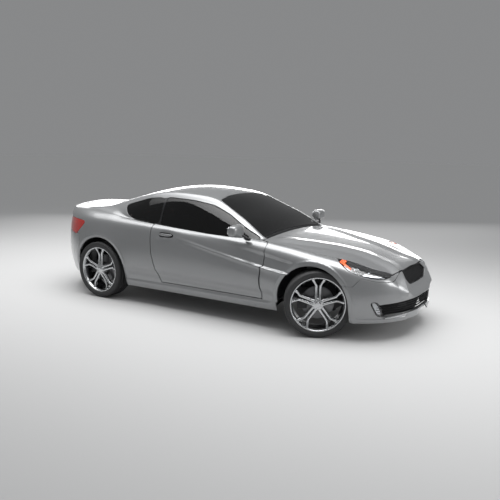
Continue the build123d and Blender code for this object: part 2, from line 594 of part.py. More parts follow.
def make_sides(s, tail_lamp):
    """The side frames with sill and pillars, the roof and every pane; doors are made for the right side."""
    house_skin, pane = s["house_skin"], s["pane"]
    windscreen = both_halves(WINDSCREEN_HALF)
    rear_glass = both_halves(REAR_GLASS_HALF)
    screen_cut = prism(windscreen, "Z", WINDSCREEN_LOW_Z, FAR)
    rear_cut = prism(rear_glass, "Z", REAR_GLASS_LOW_Z, FAR)
    arch_cuts = arch(REAR_AXLE_X, REAR_TYRE_RADIUS, REAR_ARCH_RADIUS) + arch(
        FRONT_AXLE_X, FRONT_TYRE_RADIUS, FRONT_ARCH_RADIUS)
    roof_cut = block(ROOF_REAR_X - SEAT_GAP, ROOF_FRONT_X + SEAT_GAP, -ROOF_HALF_WIDTH - SEAT_GAP, FAR,
                     WINDSCREEN_LOW_Z, FAR)

    frame = (house_skin & RIGHT) - screen_cut - rear_cut - roof_cut - bonnet_prism(SHUT_GAP)
    frame = frame - prism(offset_outline(DOOR_GLASS, DOOR_GLASS_GAP), "Y", -FAR, -PANE_INNER_Y)
    frame = frame - prism(QUARTER_GLASS, "Y", -FAR, -PANE_INNER_Y)
    frame = frame - block(TAIL_X, FIREWALL_X + 200, -PANE_INNER_Y, 0, 0, REAR_GLASS_LOW_Z + 20)
    frame = frame - block(FIREWALL_X - 45, FIREWALL_X + 200, -FAR, 0, 0, FAR)
    frame = frame - block(TAIL_X, DECK_FRONT_X, -DECK_HALF_WIDTH, 0, 0, FAR) - boot_prism(SHUT_GAP)
    frame = frame - block(TAIL_X, COWL_REAR_X - 75, -FAR, 0, 0, HOUSE_FOOT_Z)
    jamb_x = DOOR_REAR_EDGE[-1][0]
    quarter = s["skin"] & (block(QUARTER_REAR_X, jamb_x, -FAR, 0, REAR_BUMPER_TOP_Z + SEAT_GAP, FAR)
                           + block(REAR_BUMPER_FRONT_X + SEAT_GAP, jamb_x, -FAR, 0, 0, FAR))
    quarter = quarter - boot_prism(SHUT_GAP) - tail_lamp
    quarter = quarter - block(BOOT_FRONT_X, 0, -DECK_HALF_WIDTH, 0, DECK_LOW_Z, FAR)
    quarter = quarter - block(SHELF_FRONT_X, 0, -HOUSE_WALL_Y, 0, 0, FAR)
    sill = s["body"] & block(FLOOR_REAR_X, SILL_FRONT_X, -FAR, -CABIN_HALF_WIDTH - SEAT_GAP, SILL_BOTTOM_Z,
                             DOOR_SILL_Z - DOOR_GAP)
    jamb = s["body"] & block(JAMB_REAR_X, jamb_x, -FAR, -CABIN_HALF_WIDTH - SEAT_GAP, SILL_BOTTOM_Z,
                             JAMB_TOP_Z)
    post = s["under_skin"] & block(WING_REAR_X, FIREWALL_X + 40, -FAR, -CABIN_HALF_WIDTH - SEAT_GAP,
                                   SILL_BOTTOM_Z, TRAY_TOP_Z)
    side = frame + quarter + sill + jamb + post
    side = side - door_region(DOOR_GAP) - arch_cuts - rear_cut - screen_cut
    side = side - (door_front(DOOR_SWING_RADIUS + DOOR_GAP)
                   & block(0, FAR, -FAR, 0, DOOR_SILL_Z - DOOR_GAP, FAR))
    side = side - block(BOOT_FRONT_X, BOOT_FRONT_X + BOOT_SWING_GAP, -BOOT_HALF_WIDTH - SHUT_GAP, 0,
                        DECK_LOW_Z, FAR)
    side = side + tube(DOOR_HINGE_X, -DOOR_HINGE_Y, DOOR_SILL_Z, DOOR_PIN_RADIUS, "Z", 2 * DOOR_PIN_REACH)
    side = side + tube(BOOT_PIVOT_X, -BOOT_HALF_WIDTH, BOOT_PIVOT_Z, LID_PIN_RADIUS, "Y", BOOT_PIN_LENGTH)
    for x in JACK_XS:
        side = side + block(x - JACK_HALF, x + JACK_HALF, -JACK_Y - JACK_HALF, -JACK_Y + JACK_HALF,
                            SILL_BOTTOM_Z - JACK_DROP, SILL_BOTTOM_Z + JACK_DROP)

    door = (s["body"] & door_region()) - (s["slot"] & prism(offset_outline(DOOR_GLASS, 2 * SEAT_GAP), "Y",
                                                            -FAR, -PANE_INNER_Y))
    door = door - tube(DOOR_HINGE_X, -DOOR_HINGE_Y, DOOR_SILL_Z, DOOR_PIN_RADIUS + RUNNING_GAP, "Z",
                       2 * DOOR_PIN_REACH + 10)
    glass = pane & prism(DOOR_GLASS, "Y", -FAR, -PANE_INNER_Y)
    rear_pane = prism(offset_outline(rear_glass, -SEAT_GAP), "Z", REAR_GLASS_LOW_Z, FAR)
    rear_window = (pane & rear_pane) - s["body"]
    quarter_windows = pair(pane & prism(offset_outline(QUARTER_GLASS, -SEAT_GAP), "Y", -FAR, -PANE_INNER_Y))
    return {
        "side_frames": pair(side),
        "roof_panel": house_skin & block(ROOF_REAR_X, ROOF_FRONT_X, -ROOF_HALF_WIDTH, ROOF_HALF_WIDTH,
                                         WINDSCREEN_LOW_Z, FAR),
        "windscreen": (pane & prism(offset_outline(windscreen, -SEAT_GAP), "Z", WINDSCREEN_LOW_Z, FAR))
        - block(COWL_FRONT_X, FAR, -FAR, FAR, 0, FAR),
        "rear_windows": Compound([*rear_window.solids(), *quarter_windows.solids()]),
        "door_right": door,
        "door_left": left_of(door),
        "door_glass_right": glass,
        "door_glass_left": left_of(glass),
    }


def make_door_fittings(s):
    """The pull handle and the mirror of the right door."""
    grip = hull(BODY_STATIONS, -HANDLE_STAND_OFF - HANDLE_THICKNESS)
    zone = block(HANDLE_X - HANDLE_LENGTH / 2, HANDLE_X + HANDLE_LENGTH / 2, -FAR, 0,
                 HANDLE_Z - HANDLE_HEIGHT / 2, HANDLE_Z + HANDLE_HEIGHT / 2)
    gap = block(HANDLE_X - HANDLE_LENGTH / 2 + HANDLE_FOOT, HANDLE_X + HANDLE_LENGTH / 2 - HANDLE_FOOT,
                -FAR, 0, 0, FAR)
    handle = (grip & zone) - hull(BODY_STATIONS, -SEAT_GAP) - (gap & hull(BODY_STATIONS, -HANDLE_STAND_OFF))
    head = Pos(MIRROR_X, -MIRROR_Y, MIRROR_Z) * Box(*MIRROR_SIZE)
    head = fillet(head.edges(), MIRROR_FILLET)
    arm = prism([(MIRROR_X + dx, z) for dx, z in MIRROR_ARM], "Y", -MIRROR_Y + MIRROR_ARM_LAP,
                -MIRROR_ARM_INNER_Y)
    mirror = head + (arm - hull(BODY_STATIONS, -SEAT_GAP))
    return {
        "door_handle_right": handle,
        "door_handle_left": left_of(handle),
        "door_mirror_right": mirror,
        "door_mirror_left": left_of(mirror),
    }


def make_inside(s):
    floor_low = FLOOR_Z
    floor_high = FLOOR_Z + FLOOR_THICKNESS
    wide = CABIN_HALF_WIDTH
    firewall_front = FIREWALL_X + FIREWALL_WALL
    floor = block(FLOOR_REAR_X, firewall_front, -wide, wide, floor_low, floor_high)
    floor = floor + (block(FIREWALL_X, firewall_front, -wide, wide, floor_low, TRAY_BOTTOM_Z - SEAT_GAP)
                     & s["under_skin"])
    floor = floor + block(FLOOR_REAR_X, FIREWALL_X, -TUNNEL_HALF_WIDTH, TUNNEL_HALF_WIDTH, floor_low,
                          TUNNEL_TOP_Z)
    floor = floor - block(-FAR, FIREWALL_X, -TUNNEL_HALF_WIDTH + FLOOR_THICKNESS,
                          TUNNEL_HALF_WIDTH - FLOOR_THICKNESS, 0, TUNNEL_TOP_Z - FLOOR_THICKNESS)
    floor = floor + block(FLOOR_REAR_X - KICK_UP_WALL, FLOOR_REAR_X, -BOOT_FLOOR_HALF_WIDTH,
                          BOOT_FLOOR_HALF_WIDTH, floor_low, BOOT_FLOOR_Z + BOOT_FLOOR_WALL)
    floor = floor + (block(REAR_BEAM_X, FLOOR_REAR_X, -BOOT_FLOOR_HALF_WIDTH, BOOT_FLOOR_HALF_WIDTH,
                           BOOT_FLOOR_Z, BOOT_FLOOR_Z + BOOT_FLOOR_WALL) & s["under_skin"])
    floor = floor + (block(REAR_BEAM_X - BOOT_SILL_DEPTH, REAR_BEAM_X, -BOOT_FLOOR_HALF_WIDTH,
                           BOOT_FLOOR_HALF_WIDTH, BOOT_FLOOR_Z, BOOT_FLOOR_Z + BOOT_SILL_HEIGHT)
                     & s["under_skin"])
    for side in (-1, 1):
        floor = floor + block(firewall_front - 1, FRONT_BEAM_X, side * RAIL_INNER_Y,
                              side * (TOWER_INNER_Y - SEAT_GAP), RAIL_BOTTOM_Z, RAIL_TOP_Z)
    floor = floor + (block(FRONT_BEAM_X - 40, FRONT_BEAM_X + 100, -TOWER_INNER_Y, TOWER_INNER_Y,
                           RAIL_BOTTOM_Z + 20, RAIL_TOP_Z + 60) & s["under_skin"])

    tray = block(COWL_REAR_X, firewall_front, -wide + DASH_INSET, wide - DASH_INSET, TRAY_BOTTOM_Z,
                 TRAY_TOP_Z)
    upstand = block(COWL_REAR_X, COWL_FRONT_X, -COWL_HALF_WIDTH, COWL_HALF_WIDTH, TRAY_BOTTOM_Z,
                    FAR) & s["under_pane"]
    cowl = (tray & s["under_skin"]) + upstand

    dash_profile = [(640, 600), (600, 690), (640, 850), (750, 905), (COWL_REAR_X - SEAT_GAP, 905),
                    (COWL_REAR_X - SEAT_GAP, TRAY_BOTTOM_Z - SEAT_GAP),
                    (FIREWALL_X - SEAT_GAP, TRAY_BOTTOM_Z - SEAT_GAP), (FIREWALL_X - SEAT_GAP, 600)]
    dash = prism(dash_profile, "Y", -wide + DASH_INSET, wide - DASH_INSET) & s["under_pane"]
    column = steering_place() * (Pos(0, 0, -COLUMN_LENGTH / 2 - COLUMN_START) * Cylinder(COLUMN_RADIUS,
                                                                                        COLUMN_LENGTH))
    bore = steering_place() * (Pos(0, 0, -FAR / 4) * Cylinder(SHAFT_RADIUS + RUNNING_GAP, FAR / 2))
    dash = (dash + (column - block(FIREWALL_X - 100, FAR, -FAR, FAR, 0, FAR))) - (bore & block(
        0, DASH_BACK_X, -FAR, FAR, 0, FAR))
    console_low = TUNNEL_TOP_Z + SEAT_GAP
    console_half = TUNNEL_HALF_WIDTH - CONSOLE_INSET
    dash = dash + block(CONSOLE_REAR_X, CONSOLE_FRONT_X, -console_half, console_half, console_low,
                        TUNNEL_TOP_Z + CONSOLE_HEIGHT)
    dash = dash + block(STACK_REAR_X, FIREWALL_X - SEAT_GAP, -STACK_HALF_WIDTH, STACK_HALF_WIDTH, console_low,
                        STACK_TOP_Z)

    grip = [(STEERING_RIM_RADIUS + STEERING_GRIP_RADIUS * math.cos(math.radians(45 * i)),
             STEERING_GRIP_RADIUS * math.sin(math.radians(45 * i))) for i in range(8)]
    ring = Rot(90, 0, 0) * revolve_profile(grip)
    hub = Pos(0, 0, -STEERING_HUB_DROP) * Cylinder(STEERING_HUB_RADIUS, STEERING_HUB_LENGTH)
    wheel = ring + hub + (Pos(0, 0, -SHAFT_START) * Cylinder(SHAFT_RADIUS, SHAFT_LENGTH))
    for angle in STEERING_SPOKE_ANGLES:
        wheel = wheel + Rot(0, 0, angle) * (Pos(STEERING_RIM_RADIUS / 2, 0, 0) * Box(
            STEERING_RIM_RADIUS, STEERING_SPOKE_WIDTH, STEERING_SPOKE_THICKNESS))
    return {
        "floor_pan": floor,
        "cowl": cowl,
        "dashboard": dash,
        "steering_wheel": steering_place() * wheel,
        "seats": make_seats(),
    }


def steering_place():
    """The steering wheel's centre, with local Z along its shaft towards the driver and up."""
    return Pos(*STEERING_CENTRE) * Rot(0, -90 + STEERING_TILT, 0)


def make_seats():
    """Two front seats with headrests and a rear bench, each a block about its cushion's crease."""
    seats = []
    base = FLOOR_Z + FLOOR_THICKNESS + SEAT_GAP
    for y, half, front, back, top_x, top_z in SEATS:
        low = [(front, base), (front + 10, CUSHION_TOP_Z - 50), (front - 30, CUSHION_TOP_Z),
               (back, CUSHION_TOP_Z - 20), (top_x + 70, top_z), (top_x + 10, top_z + 25),
               (top_x - 40, top_z - 10), (back - BACKREST_DEPTH, CUSHION_TOP_Z - 40), (back - 110, base)]
        solid = prism(low, "Y", y - half, y + half)
        if y == 0:
            solid = solid - block(-FAR, FLOOR_REAR_X + SEAT_GAP, -FAR, FAR, 0,
                                  BOOT_FLOOR_Z + BOOT_FLOOR_WALL + SEAT_GAP)
            solid = solid - block(-FAR, FAR, -TUNNEL_HALF_WIDTH - SEAT_GAP, TUNNEL_HALF_WIDTH + SEAT_GAP,
                                  0, TUNNEL_TOP_Z + SEAT_GAP)
        else:
            solid = fillet(solid.edges().filter_by(Axis.Y).sort_by(Axis.Z)[-5:], SEAT_FILLET)
            rest = prism([(top_x + dx, top_z + dz) for dx, dz in HEADREST], "Y", y - HEADREST_HALF_WIDTH,
                         y + HEADREST_HALF_WIDTH)
            solid = solid + rest
        seats += solids_of(solid)
    return Compound(seats)


def make_running_gear(s):
    """Engine, both suspensions, arch liners and exhaust."""
    engine = block(*ENGINE_BOX)
    mid = FRONT_TYRE_RADIUS
    front = block(FRONT_AXLE_X - CROSS_HALF, FRONT_AXLE_X + CROSS_HALF, -TOWER_OUTER_Y, TOWER_OUTER_Y,
                  SUBFRAME_LOW_Z, ENGINE_BOX[4] - SEAT_GAP)
    for side in (-1, 1):
        front = front + block(FRONT_AXLE_X - TOWER_HALF, FRONT_AXLE_X + TOWER_HALF, side * TOWER_INNER_Y,
                              side * TOWER_OUTER_Y, SUBFRAME_LOW_Z, TOWER_TOP_Z)
        for z in (mid - ARM_RISE - ARM_THICKNESS / 2, mid + ARM_RISE + ARM_THICKNESS / 2):
            eye = tube(FRONT_AXLE_X, side * KINGPIN_Y, z, ARM_EYE_RADIUS, "Z", ARM_THICKNESS)
            arm = block(FRONT_AXLE_X - ARM_HALF_WIDTH, FRONT_AXLE_X + ARM_HALF_WIDTH, side * TOWER_OUTER_Y,
                        side * (KINGPIN_Y - KINGPIN_RADIUS), z - ARM_THICKNESS / 2, z + ARM_THICKNESS / 2)
            front = front + arm + eye
            front = front - tube(FRONT_AXLE_X, side * KINGPIN_Y, z, KINGPIN_RADIUS + RUNNING_GAP, "Z",
                                 2 * ARM_THICKNESS)
        front = front + tube(FRONT_AXLE_X, side * DAMPER_Y, (SUBFRAME_LOW_Z + TOWER_TOP_Z) / 2, DAMPER_RADIUS,
                             "Z", TOWER_TOP_Z - SUBFRAME_LOW_Z)
        front = front + block(FRONT_AXLE_X - CROSS_HALF, FRONT_AXLE_X + CROSS_HALF, side * TOWER_INNER_Y,
                              side * (DAMPER_Y + DAMPER_RADIUS), TOWER_TOP_Z - DAMPER_PLATE, TOWER_TOP_Z)

    axle_z = REAR_TYRE_RADIUS
    carrier_y = REAR_TRACK / 2 - CARRIER_INSET
    rear = tube(REAR_AXLE_X, 0, axle_z, REAR_BEAM_RADIUS, "Y", 2 * carrier_y)
    rear = rear + (Pos(REAR_AXLE_X, 0, axle_z) * Sphere(DIFF_RADIUS) & block(
        -FAR, FAR, -FAR, FAR, 0, BOOT_FLOOR_Z - SEAT_GAP))
    for side in (-1, 1):
        for x_low, x_high, y_low, y_high, z_low, z_high in REAR_LINKS:
            rear = rear + block(x_low, x_high, side * y_low, side * y_high, z_low, z_high)
        rear = rear + tube(REAR_AXLE_X, side * (carrier_y + CARRIER_LENGTH / 2), axle_z, CARRIER_RADIUS, "Y",
                           CARRIER_LENGTH)
        rear = rear + tube(REAR_AXLE_X, side * (carrier_y + SPINDLE_LENGTH / 2), axle_z, SPINDLE_RADIUS, "Y",
                           SPINDLE_LENGTH)
        rear = rear + Pos(REAR_AXLE_X, side * REAR_TRACK / 2, axle_z) * caliper(side)

    liners = []
    table = [(FRONT_AXLE_X, FRONT_TYRE_RADIUS, FRONT_LINER_RADIUS, FRONT_LINER_INNER_Y, False),
             (REAR_AXLE_X, REAR_TYRE_RADIUS, REAR_LINER_RADIUS, REAR_LINER_INNER_Y, True)]
    for x, z, radius, inner_y, walled in table:
        shell = tube(x, -inner_y - FAR / 2, z, radius + LINER_WALL, "Y", FAR) - tube(
            x, -inner_y - FAR / 2 - (LINER_WALL if walled else -1), z, radius, "Y", FAR)
        shell = shell & block(-FAR, FAR, -FAR, 0, z, FAR) & s["under_skin"]
        if walled:
            shell = shell - tube(x, -inner_y, z, REAR_BEAM_RADIUS + 10, "Y", 100)
        liners += solids_of(shell)
    return {
        "engine": engine,
        "front_suspension": front,
        "rear_suspension": rear,
        "arch_liners": Compound(liners + [one.mirror(Plane.XZ) for one in liners]),
        "exhaust": make_exhaust(),
    }


def make_exhaust():
    """A pipe under the floor to a cross silencer with two tail pipes."""
    silencer = block(*SILENCER_BOX)
    silencer = fillet(silencer.edges().filter_by(Axis.Y), SILENCER_FILLET)
    route = [(1190, -180, ENGINE_BOX[4] - EXHAUST_RADIUS - SEAT_GAP), (1060, -180, EXHAUST_Z),
             (-1060, -180, EXHAUST_Z), (-1850, -180, 290)]
    shape = silencer + block(*SILENCER_HANGER, BOOT_FLOOR_Z - SEAT_GAP)
    for start, end in zip(route, route[1:]):
        run = Vector(*end) - Vector(*start)
        plane = Plane(origin=Vector(*start), z_dir=run)
        shape = shape + plane * (Pos(0, 0, run.length / 2) * Cylinder(EXHAUST_RADIUS, run.length))
        shape = shape + Pos(*end) * Sphere(EXHAUST_RADIUS)
    for side in (-1, 1):
        shape = shape + tube(TAIL_PIPE_X, side * TAIL_PIPE_Y, TAIL_PIPE_Z, TAIL_PIPE_RADIUS, "X",
                             TAIL_PIPE_LENGTH)
        shape = shape - tube(TAIL_PIPE_X - TAIL_PIPE_BORE_SHIFT, side * TAIL_PIPE_Y, TAIL_PIPE_Z,
                             TAIL_PIPE_RADIUS - TAIL_PIPE_WALL, "X", TAIL_PIPE_BORE)
    return shape


def caliper(side):
    """A brake caliper astride the disc, in the wheel's own place with the outboard side along side."""
    outer = -side * (DISC_INBOARD_Y - DISC_THICKNESS - BRAKE_GAP)
    inner = -side * (DISC_INBOARD_Y + BRAKE_GAP)
    far = -side * (DISC_INBOARD_Y - DISC_THICKNESS - BRAKE_GAP - CALIPER_WALL)
    near = -side * (DISC_INBOARD_Y + BRAKE_GAP + CALIPER_WALL)
    tall = CALIPER_HALF_HEIGHT
    shape = block(-CALIPER_OUTER_X, -CALIPER_INNER_X, far, near, -tall, tall)
    shape = shape - block(-DISC_RADIUS - BRAKE_GAP, 0, outer, inner, -2 * tall, 2 * tall)
    return shape + block(-CALIPER_INNER_X - 10, 0, inner, near, -CALIPER_ARM_HALF, CALIPER_ARM_HALF)


def make_wheel(radius, width):
    """One wheel about the Y axis with its outboard side towards -Y."""
    half = width / 2
    seat = half - FLANGE_INSET
    tyre_profile = [(TYRE_BORE, -seat), (FLANGE_RADIUS + 2, -seat), (FLANGE_RADIUS + 14, -half + 3),
                    (FLANGE_RADIUS + 29, -half), (radius - 14, -half + 5), (radius - 4, -half + 16),
                    (radius, -half + 34)]
    tyre_profile = tyre_profile + [(r, -y) for r, y in reversed(tyre_profile)]
    tyre = revolve_profile(tyre_profile)
    outer = TYRE_BORE - SEAT_GAP
    flange = seat + FLANGE_WIDTH
    rim_profile = [(outer - RIM_WALL, -flange), (FLANGE_RADIUS, -flange), (FLANGE_RADIUS, -seat - SEAT_GAP),
                   (outer, -seat - SEAT_GAP), (outer, seat + SEAT_GAP), (FLANGE_RADIUS, seat + SEAT_GAP),
                   (FLANGE_RADIUS, flange), (outer - RIM_WALL, flange)]
    rim = revolve_profile(rim_profile)
    face = -flange + 6
    rim = rim + tube(0, face + HUB_LENGTH / 2, 0, HUB_RADIUS, "Y", HUB_LENGTH)
    for i in range(SPOKE_PAIRS):
        for way in (-1, 1):
            rim = rim + Rot(0, 360 / SPOKE_PAIRS * i, 0) * spoke(way, face, outer - RIM_WALL / 2)
    bore = SPINDLE_RADIUS + RUNNING_GAP
    rim = rim - tube(0, face + HUB_CAP + FAR / 2, 0, bore, "Y", FAR)
    inboard = DISC_INBOARD_Y
    disc = tube(0, inboard - DISC_THICKNESS / 2, 0, DISC_RADIUS, "Y", DISC_THICKNESS)
    hat_start = face + HUB_LENGTH + SEAT_GAP
    disc = disc + tube(0, (hat_start + inboard) / 2, 0, DISC_HAT_RADIUS, "Y", inboard - hat_start)
    disc = disc - tube(0, 0, 0, bore, "Y", FAR)
    return {"tyre": tyre, "rim": rim, "brake_disc": disc}


def revolve_profile(points):
    face = Face(Wire.make_polygon([Vector(r, y, 0) for r, y in points], close=True))
    return Solid.revolve(face, 360, Axis.Y)


def spoke(way, face, reach):
    """One of a pair of spokes: a tapered bar that leans out to its side of the pair."""
    inner = math.radians(90 + way * SPOKE_INNER_ANGLE)
    outer = math.radians(90 + way * SPOKE_OUTER_ANGLE)
    start = (math.cos(inner) * (HUB_RADIUS - 12), math.sin(inner) * (HUB_RADIUS - 12))
    end = (math.cos(outer) * reach, math.sin(outer) * reach)
    length = math.hypot(end[0] - start[0], end[1] - start[1])
    across = (-(end[1] - start[1]) / length, (end[0] - start[0]) / length)
    outline = []
    for point, width in ((start, SPOKE_INNER_WIDTH), (end, SPOKE_OUTER_WIDTH)):
        sign = 1 if point is start else -1
        for way_across in (sign, -sign):
            outline.append((point[0] + across[0] * width / 2 * way_across,
                            point[1] + across[1] * width / 2 * way_across))
    return prism(outline, "Y", face, face + SPOKE_DEPTH)


def make_knuckle():
    """The right front upright in its wheel's place: kingpin ends, stub axle and caliper."""
    pin_y = FRONT_TRACK / 2 - KINGPIN_Y
    bar_half = ARM_RISE - 1
    shape = tube(0, pin_y, 0, KNUCKLE_RADIUS, "Z", 2 * bar_half)
    shape = shape + tube(0, pin_y, 0, KINGPIN_RADIUS, "Z", 2 * (ARM_RISE + ARM_THICKNESS))
    stub = pin_y + STUB_REACH
    shape = shape + tube(0, pin_y - stub / 2, 0, SPINDLE_RADIUS, "Y", stub)
    return shape + caliper(-1)


def make_wheels():
    """All four wheels and both knuckles; the front ones are turned about their kingpins."""
    knuckle = make_knuckle()
    nodes = {}
    for place, x, radius, width, track in WHEELS:
        for side_name, side in (("right", -1), ("left", 1)):
            pieces = make_wheel(radius, width)
            if place == "front":
                pieces["knuckle"] = knuckle
            for piece, shape in pieces.items():
                if side == 1:
                    shape = shape.mirror(Plane.XZ)
                shape = Pos(x, side * track / 2, radius) * shape
                if place == "front":
                    pin = Axis((x, side * KINGPIN_Y, 0), (0, 0, 1))
                    shape = shape.rotate(pin, STEER_REST)
                name = f"knuckle_{side_name}" if piece == "knuckle" else f"{piece}_{place}_{side_name}"
                nodes[name] = shape
    return nodes


def main():
    os.makedirs("parts", exist_ok=True)
    s = make_shells()
    tail, tail_lamp = make_tail(s)
    groups = [make_nose(s), tail, make_sides(s, tail_lamp), make_door_fittings(s), make_inside(s),
              make_running_gear(s), make_wheels()]
    for group in groups:
        for name, shape in group.items():
            write(name, shape)


main()
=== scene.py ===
import bpy
import numpy as np
from mathutils import Matrix, Vector


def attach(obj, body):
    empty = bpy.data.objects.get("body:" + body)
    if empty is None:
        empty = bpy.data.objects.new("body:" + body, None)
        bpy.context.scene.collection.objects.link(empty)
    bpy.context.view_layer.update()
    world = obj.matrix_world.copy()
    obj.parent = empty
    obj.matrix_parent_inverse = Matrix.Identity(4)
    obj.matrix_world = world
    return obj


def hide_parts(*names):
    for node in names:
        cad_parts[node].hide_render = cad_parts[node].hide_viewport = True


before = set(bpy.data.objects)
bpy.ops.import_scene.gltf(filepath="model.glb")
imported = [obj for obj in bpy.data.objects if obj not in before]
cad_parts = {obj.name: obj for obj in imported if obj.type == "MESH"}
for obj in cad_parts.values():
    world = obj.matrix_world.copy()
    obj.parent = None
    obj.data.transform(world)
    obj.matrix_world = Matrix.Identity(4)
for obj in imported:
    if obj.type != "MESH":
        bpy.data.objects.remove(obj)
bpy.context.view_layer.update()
print("nodes in the frame:", len(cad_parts))

# %% [markdown]
# ## Camera
# A model can only be compared with a picture from the place where the picture was taken. Blender's camera
# could be aimed with a constraint. Here its three axes are worked out and set as one matrix, because that
# also gives the small roll that makes the far side drop.
# %% The camera's place, aim and lens
EYE = Vector((4.088, -6.305, 1.883))
AIM = Vector((0.065, 0.0, 0.6))
ROLL = np.radians(0.835)
FOCAL_LENGTH = 45.36
SHIFT_X = 0.0233
SIGHT_END = 200.0
print("from the aim to the eye:", round((EYE - AIM).length, 3), "m")

# %% A camera from its three axes
def make_camera():
    """A camera at EYE that looks at AIM, turned by ROLL about its own line of sight."""
    data = bpy.data.cameras.new("camera")
    data.lens = FOCAL_LENGTH
    data.shift_x = SHIFT_X
    data.clip_end = SIGHT_END
    camera = bpy.data.objects.new("camera", data)
    ahead = (AIM - EYE).normalized()
    right = ahead.cross(Vector((0, 0, 1))).normalized()
    up = right.cross(ahead)
    across = right * np.cos(ROLL) + up * np.sin(ROLL)
    above = up * np.cos(ROLL) - right * np.sin(ROLL)
    turn = Matrix((across, above, -ahead)).transposed().to_4x4()
    camera.matrix_world = Matrix.Translation(EYE) @ turn
    bpy.context.scene.collection.objects.link(camera)
    bpy.context.scene.camera = camera


make_camera()
print("camera at", tuple(EYE), "with a lens of", FOCAL_LENGTH, "mm")

# %% [markdown]
# ## Mesh tools
# A mesh is a list of places and a list of which places make each face. Blender can add them one at a time
# through bmesh, which is slow for a surface of this size. foreach_set takes whole arrays at once, so each
# piece below is made as arrays first. The tools after it say which body a piece rides on, and give the
# few curves that the shapes are built from.
# %% Arrays into a mesh
def new_object(name, vertices, faces, normals=None, smooth=True):
    """An object at the origin from arrays of vertices and of faces with the same number of corners,
    or from several such arrays of faces. Given vertex normals shade it where there are any."""
    groups = [np.asarray(f, np.int32) for f in (faces if isinstance(faces, list) else [faces]) if len(f)]
    loops = np.concatenate([g.ravel() for g in groups])
    sizes = np.concatenate([np.full(len(g), g.shape[1], np.int32) for g in groups])
    starts = np.concatenate([[0], np.cumsum(sizes)[:-1]]).astype(np.int32)
    mesh = bpy.data.meshes.new(name)
    mesh.vertices.add(len(vertices))
    mesh.vertices.foreach_set("co", np.asarray(vertices, np.float32).ravel())
    mesh.loops.add(len(loops))
    mesh.loops.foreach_set("vertex_index", loops)
    mesh.polygons.add(len(sizes))
    mesh.polygons.foreach_set("loop_start", starts)
    mesh.polygons.foreach_set("use_smooth", np.full(len(sizes), smooth))
    mesh.update(calc_edges=True)
    mesh.validate()
    if normals is not None and len(mesh.vertices) == len(normals):
        mesh.normals_split_custom_set_from_vertices(np.asarray(normals, np.float32))
    made = bpy.data.objects.new(name, mesh)
    bpy.context.scene.collection.objects.link(made)
    return made

# %% Faces of a grid
def grid_faces(rows, columns, wrap_rows=False, wrap_columns=False):
    """Quads of a grid of rows x columns vertices, closed on itself either way if asked."""
    r = np.arange(rows if wrap_rows else rows - 1)
    c = np.arange(columns if wrap_columns else columns - 1)
    r, c = np.meshgrid(r, c, indexing="ij")
    r2, c2 = (r + 1) % rows, (c + 1) % columns
    corners = [r * columns + c, r * columns + c2, r2 * columns + c2, r2 * columns + c]
    return np.stack(corners, -1).reshape(-1, 4)

# %% What a piece rides on and what it replaces
def place(made, body, slot, *materials, replaces=()):
    """Gives a piece its materials and the CAD body it rides on, and hides the nodes it replaces. Its slot is
    not used.
    """
    for material in materials:
        made.data.materials.append(material)
    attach(made, body)
    if replaces:
        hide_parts(*replaces)
    print(f"{made.name}: {len(made.data.polygons)} faces, rides on {body}")
    return made

# %% Joining arrays, unit vectors, steps and bells
def joined(parts):
    """Several (points, faces) as one pair, with each one's faces counted on from the points before."""
    starts = np.cumsum([0] + [len(p) for p, _ in parts])
    return np.concatenate([p for p, _ in parts]), [f + s for (_, f), s in zip(parts, starts)]


def unit(v):
    """Vectors along the last axis scaled to length 1."""
    return v / np.maximum(np.linalg.norm(v, axis=-1, keepdims=True), 1e-12)


def smooth_step(x, low, high):
    """0 below low, 1 above high, and 3 t^2 - 2 t^3 between them, with t the share of the way."""
    t = np.clip((x - low) / (high - low), 0, 1)
    return t * t * (3 - 2 * t)


def bump_at(x, centre, width):
    """A bell of height 1: e to the power of minus the square of (x - centre) / width."""
    return np.exp(-((x - centre) / width) ** 2)

# %% [markdown]
# ## Curves and outlines
# A body is drawn from a few sections, and the rest has to flow between them. Straight lines would leave
# a kink at each section. A natural cubic spline bends as little as it can and passes through
# all of them. Outlines are closed lines of points, and the signed distance to one tells how far inside it
# a place lies, which later decides where sheet metal is cut.
# %% A smooth curve through given values
def spline(knots, values, at):
    """A natural cubic spline through values (one row per knot), read at the given places."""
    n = len(knots)
    h = np.diff(knots)
    a = np.zeros((n, n))
    b = np.zeros((n, values.shape[1]))
    a[0, 0] = a[-1, -1] = 1
    for i in range(1, n - 1):
        a[i, i - 1:i + 2] = h[i - 1], 2 * (h[i - 1] + h[i]), h[i]
        b[i] = 6 * ((values[i + 1] - values[i]) / h[i] - (values[i] - values[i - 1]) / h[i - 1])
    m = np.linalg.solve(a, b)
    i = np.clip(np.searchsorted(knots, at) - 1, 0, n - 2)
    w = h[i][:, None]
    lo = (knots[i + 1] - at)[:, None]
    hi = (at - knots[i])[:, None]
    return (m[i] * lo ** 3 + m[i + 1] * hi ** 3) / (6 * w) + (values[i] / w - m[i] * w / 6) * lo + (
        values[i + 1] / w - m[i + 1] * w / 6) * hi

# %% How far inside an outline a place lies
def outline_distance(points, a, b):
    """Signed distance from places (a, b) to a closed outline, less than 0 inside it."""
    points = np.asarray(points, float)
    best = np.full(a.shape, 1e9)
    inside = np.zeros(a.shape, bool)
    for p, q in zip(points, np.roll(points, -1, 0)):
        d = q - p
        t = np.clip(((a - p[0]) * d[0] + (b - p[1]) * d[1]) / (d @ d + 1e-18), 0, 1)
        best = np.minimum(best, np.hypot(a - p[0] - t * d[0], b - p[1] - t * d[1]))
        crosses = (p[1] > b) != (q[1] > b)
        inside ^= crosses & (a < p[0] + (b - p[1]) * d[0] / (d[1] if d[1] else 1e-18))
    return np.where(inside, -best, best)

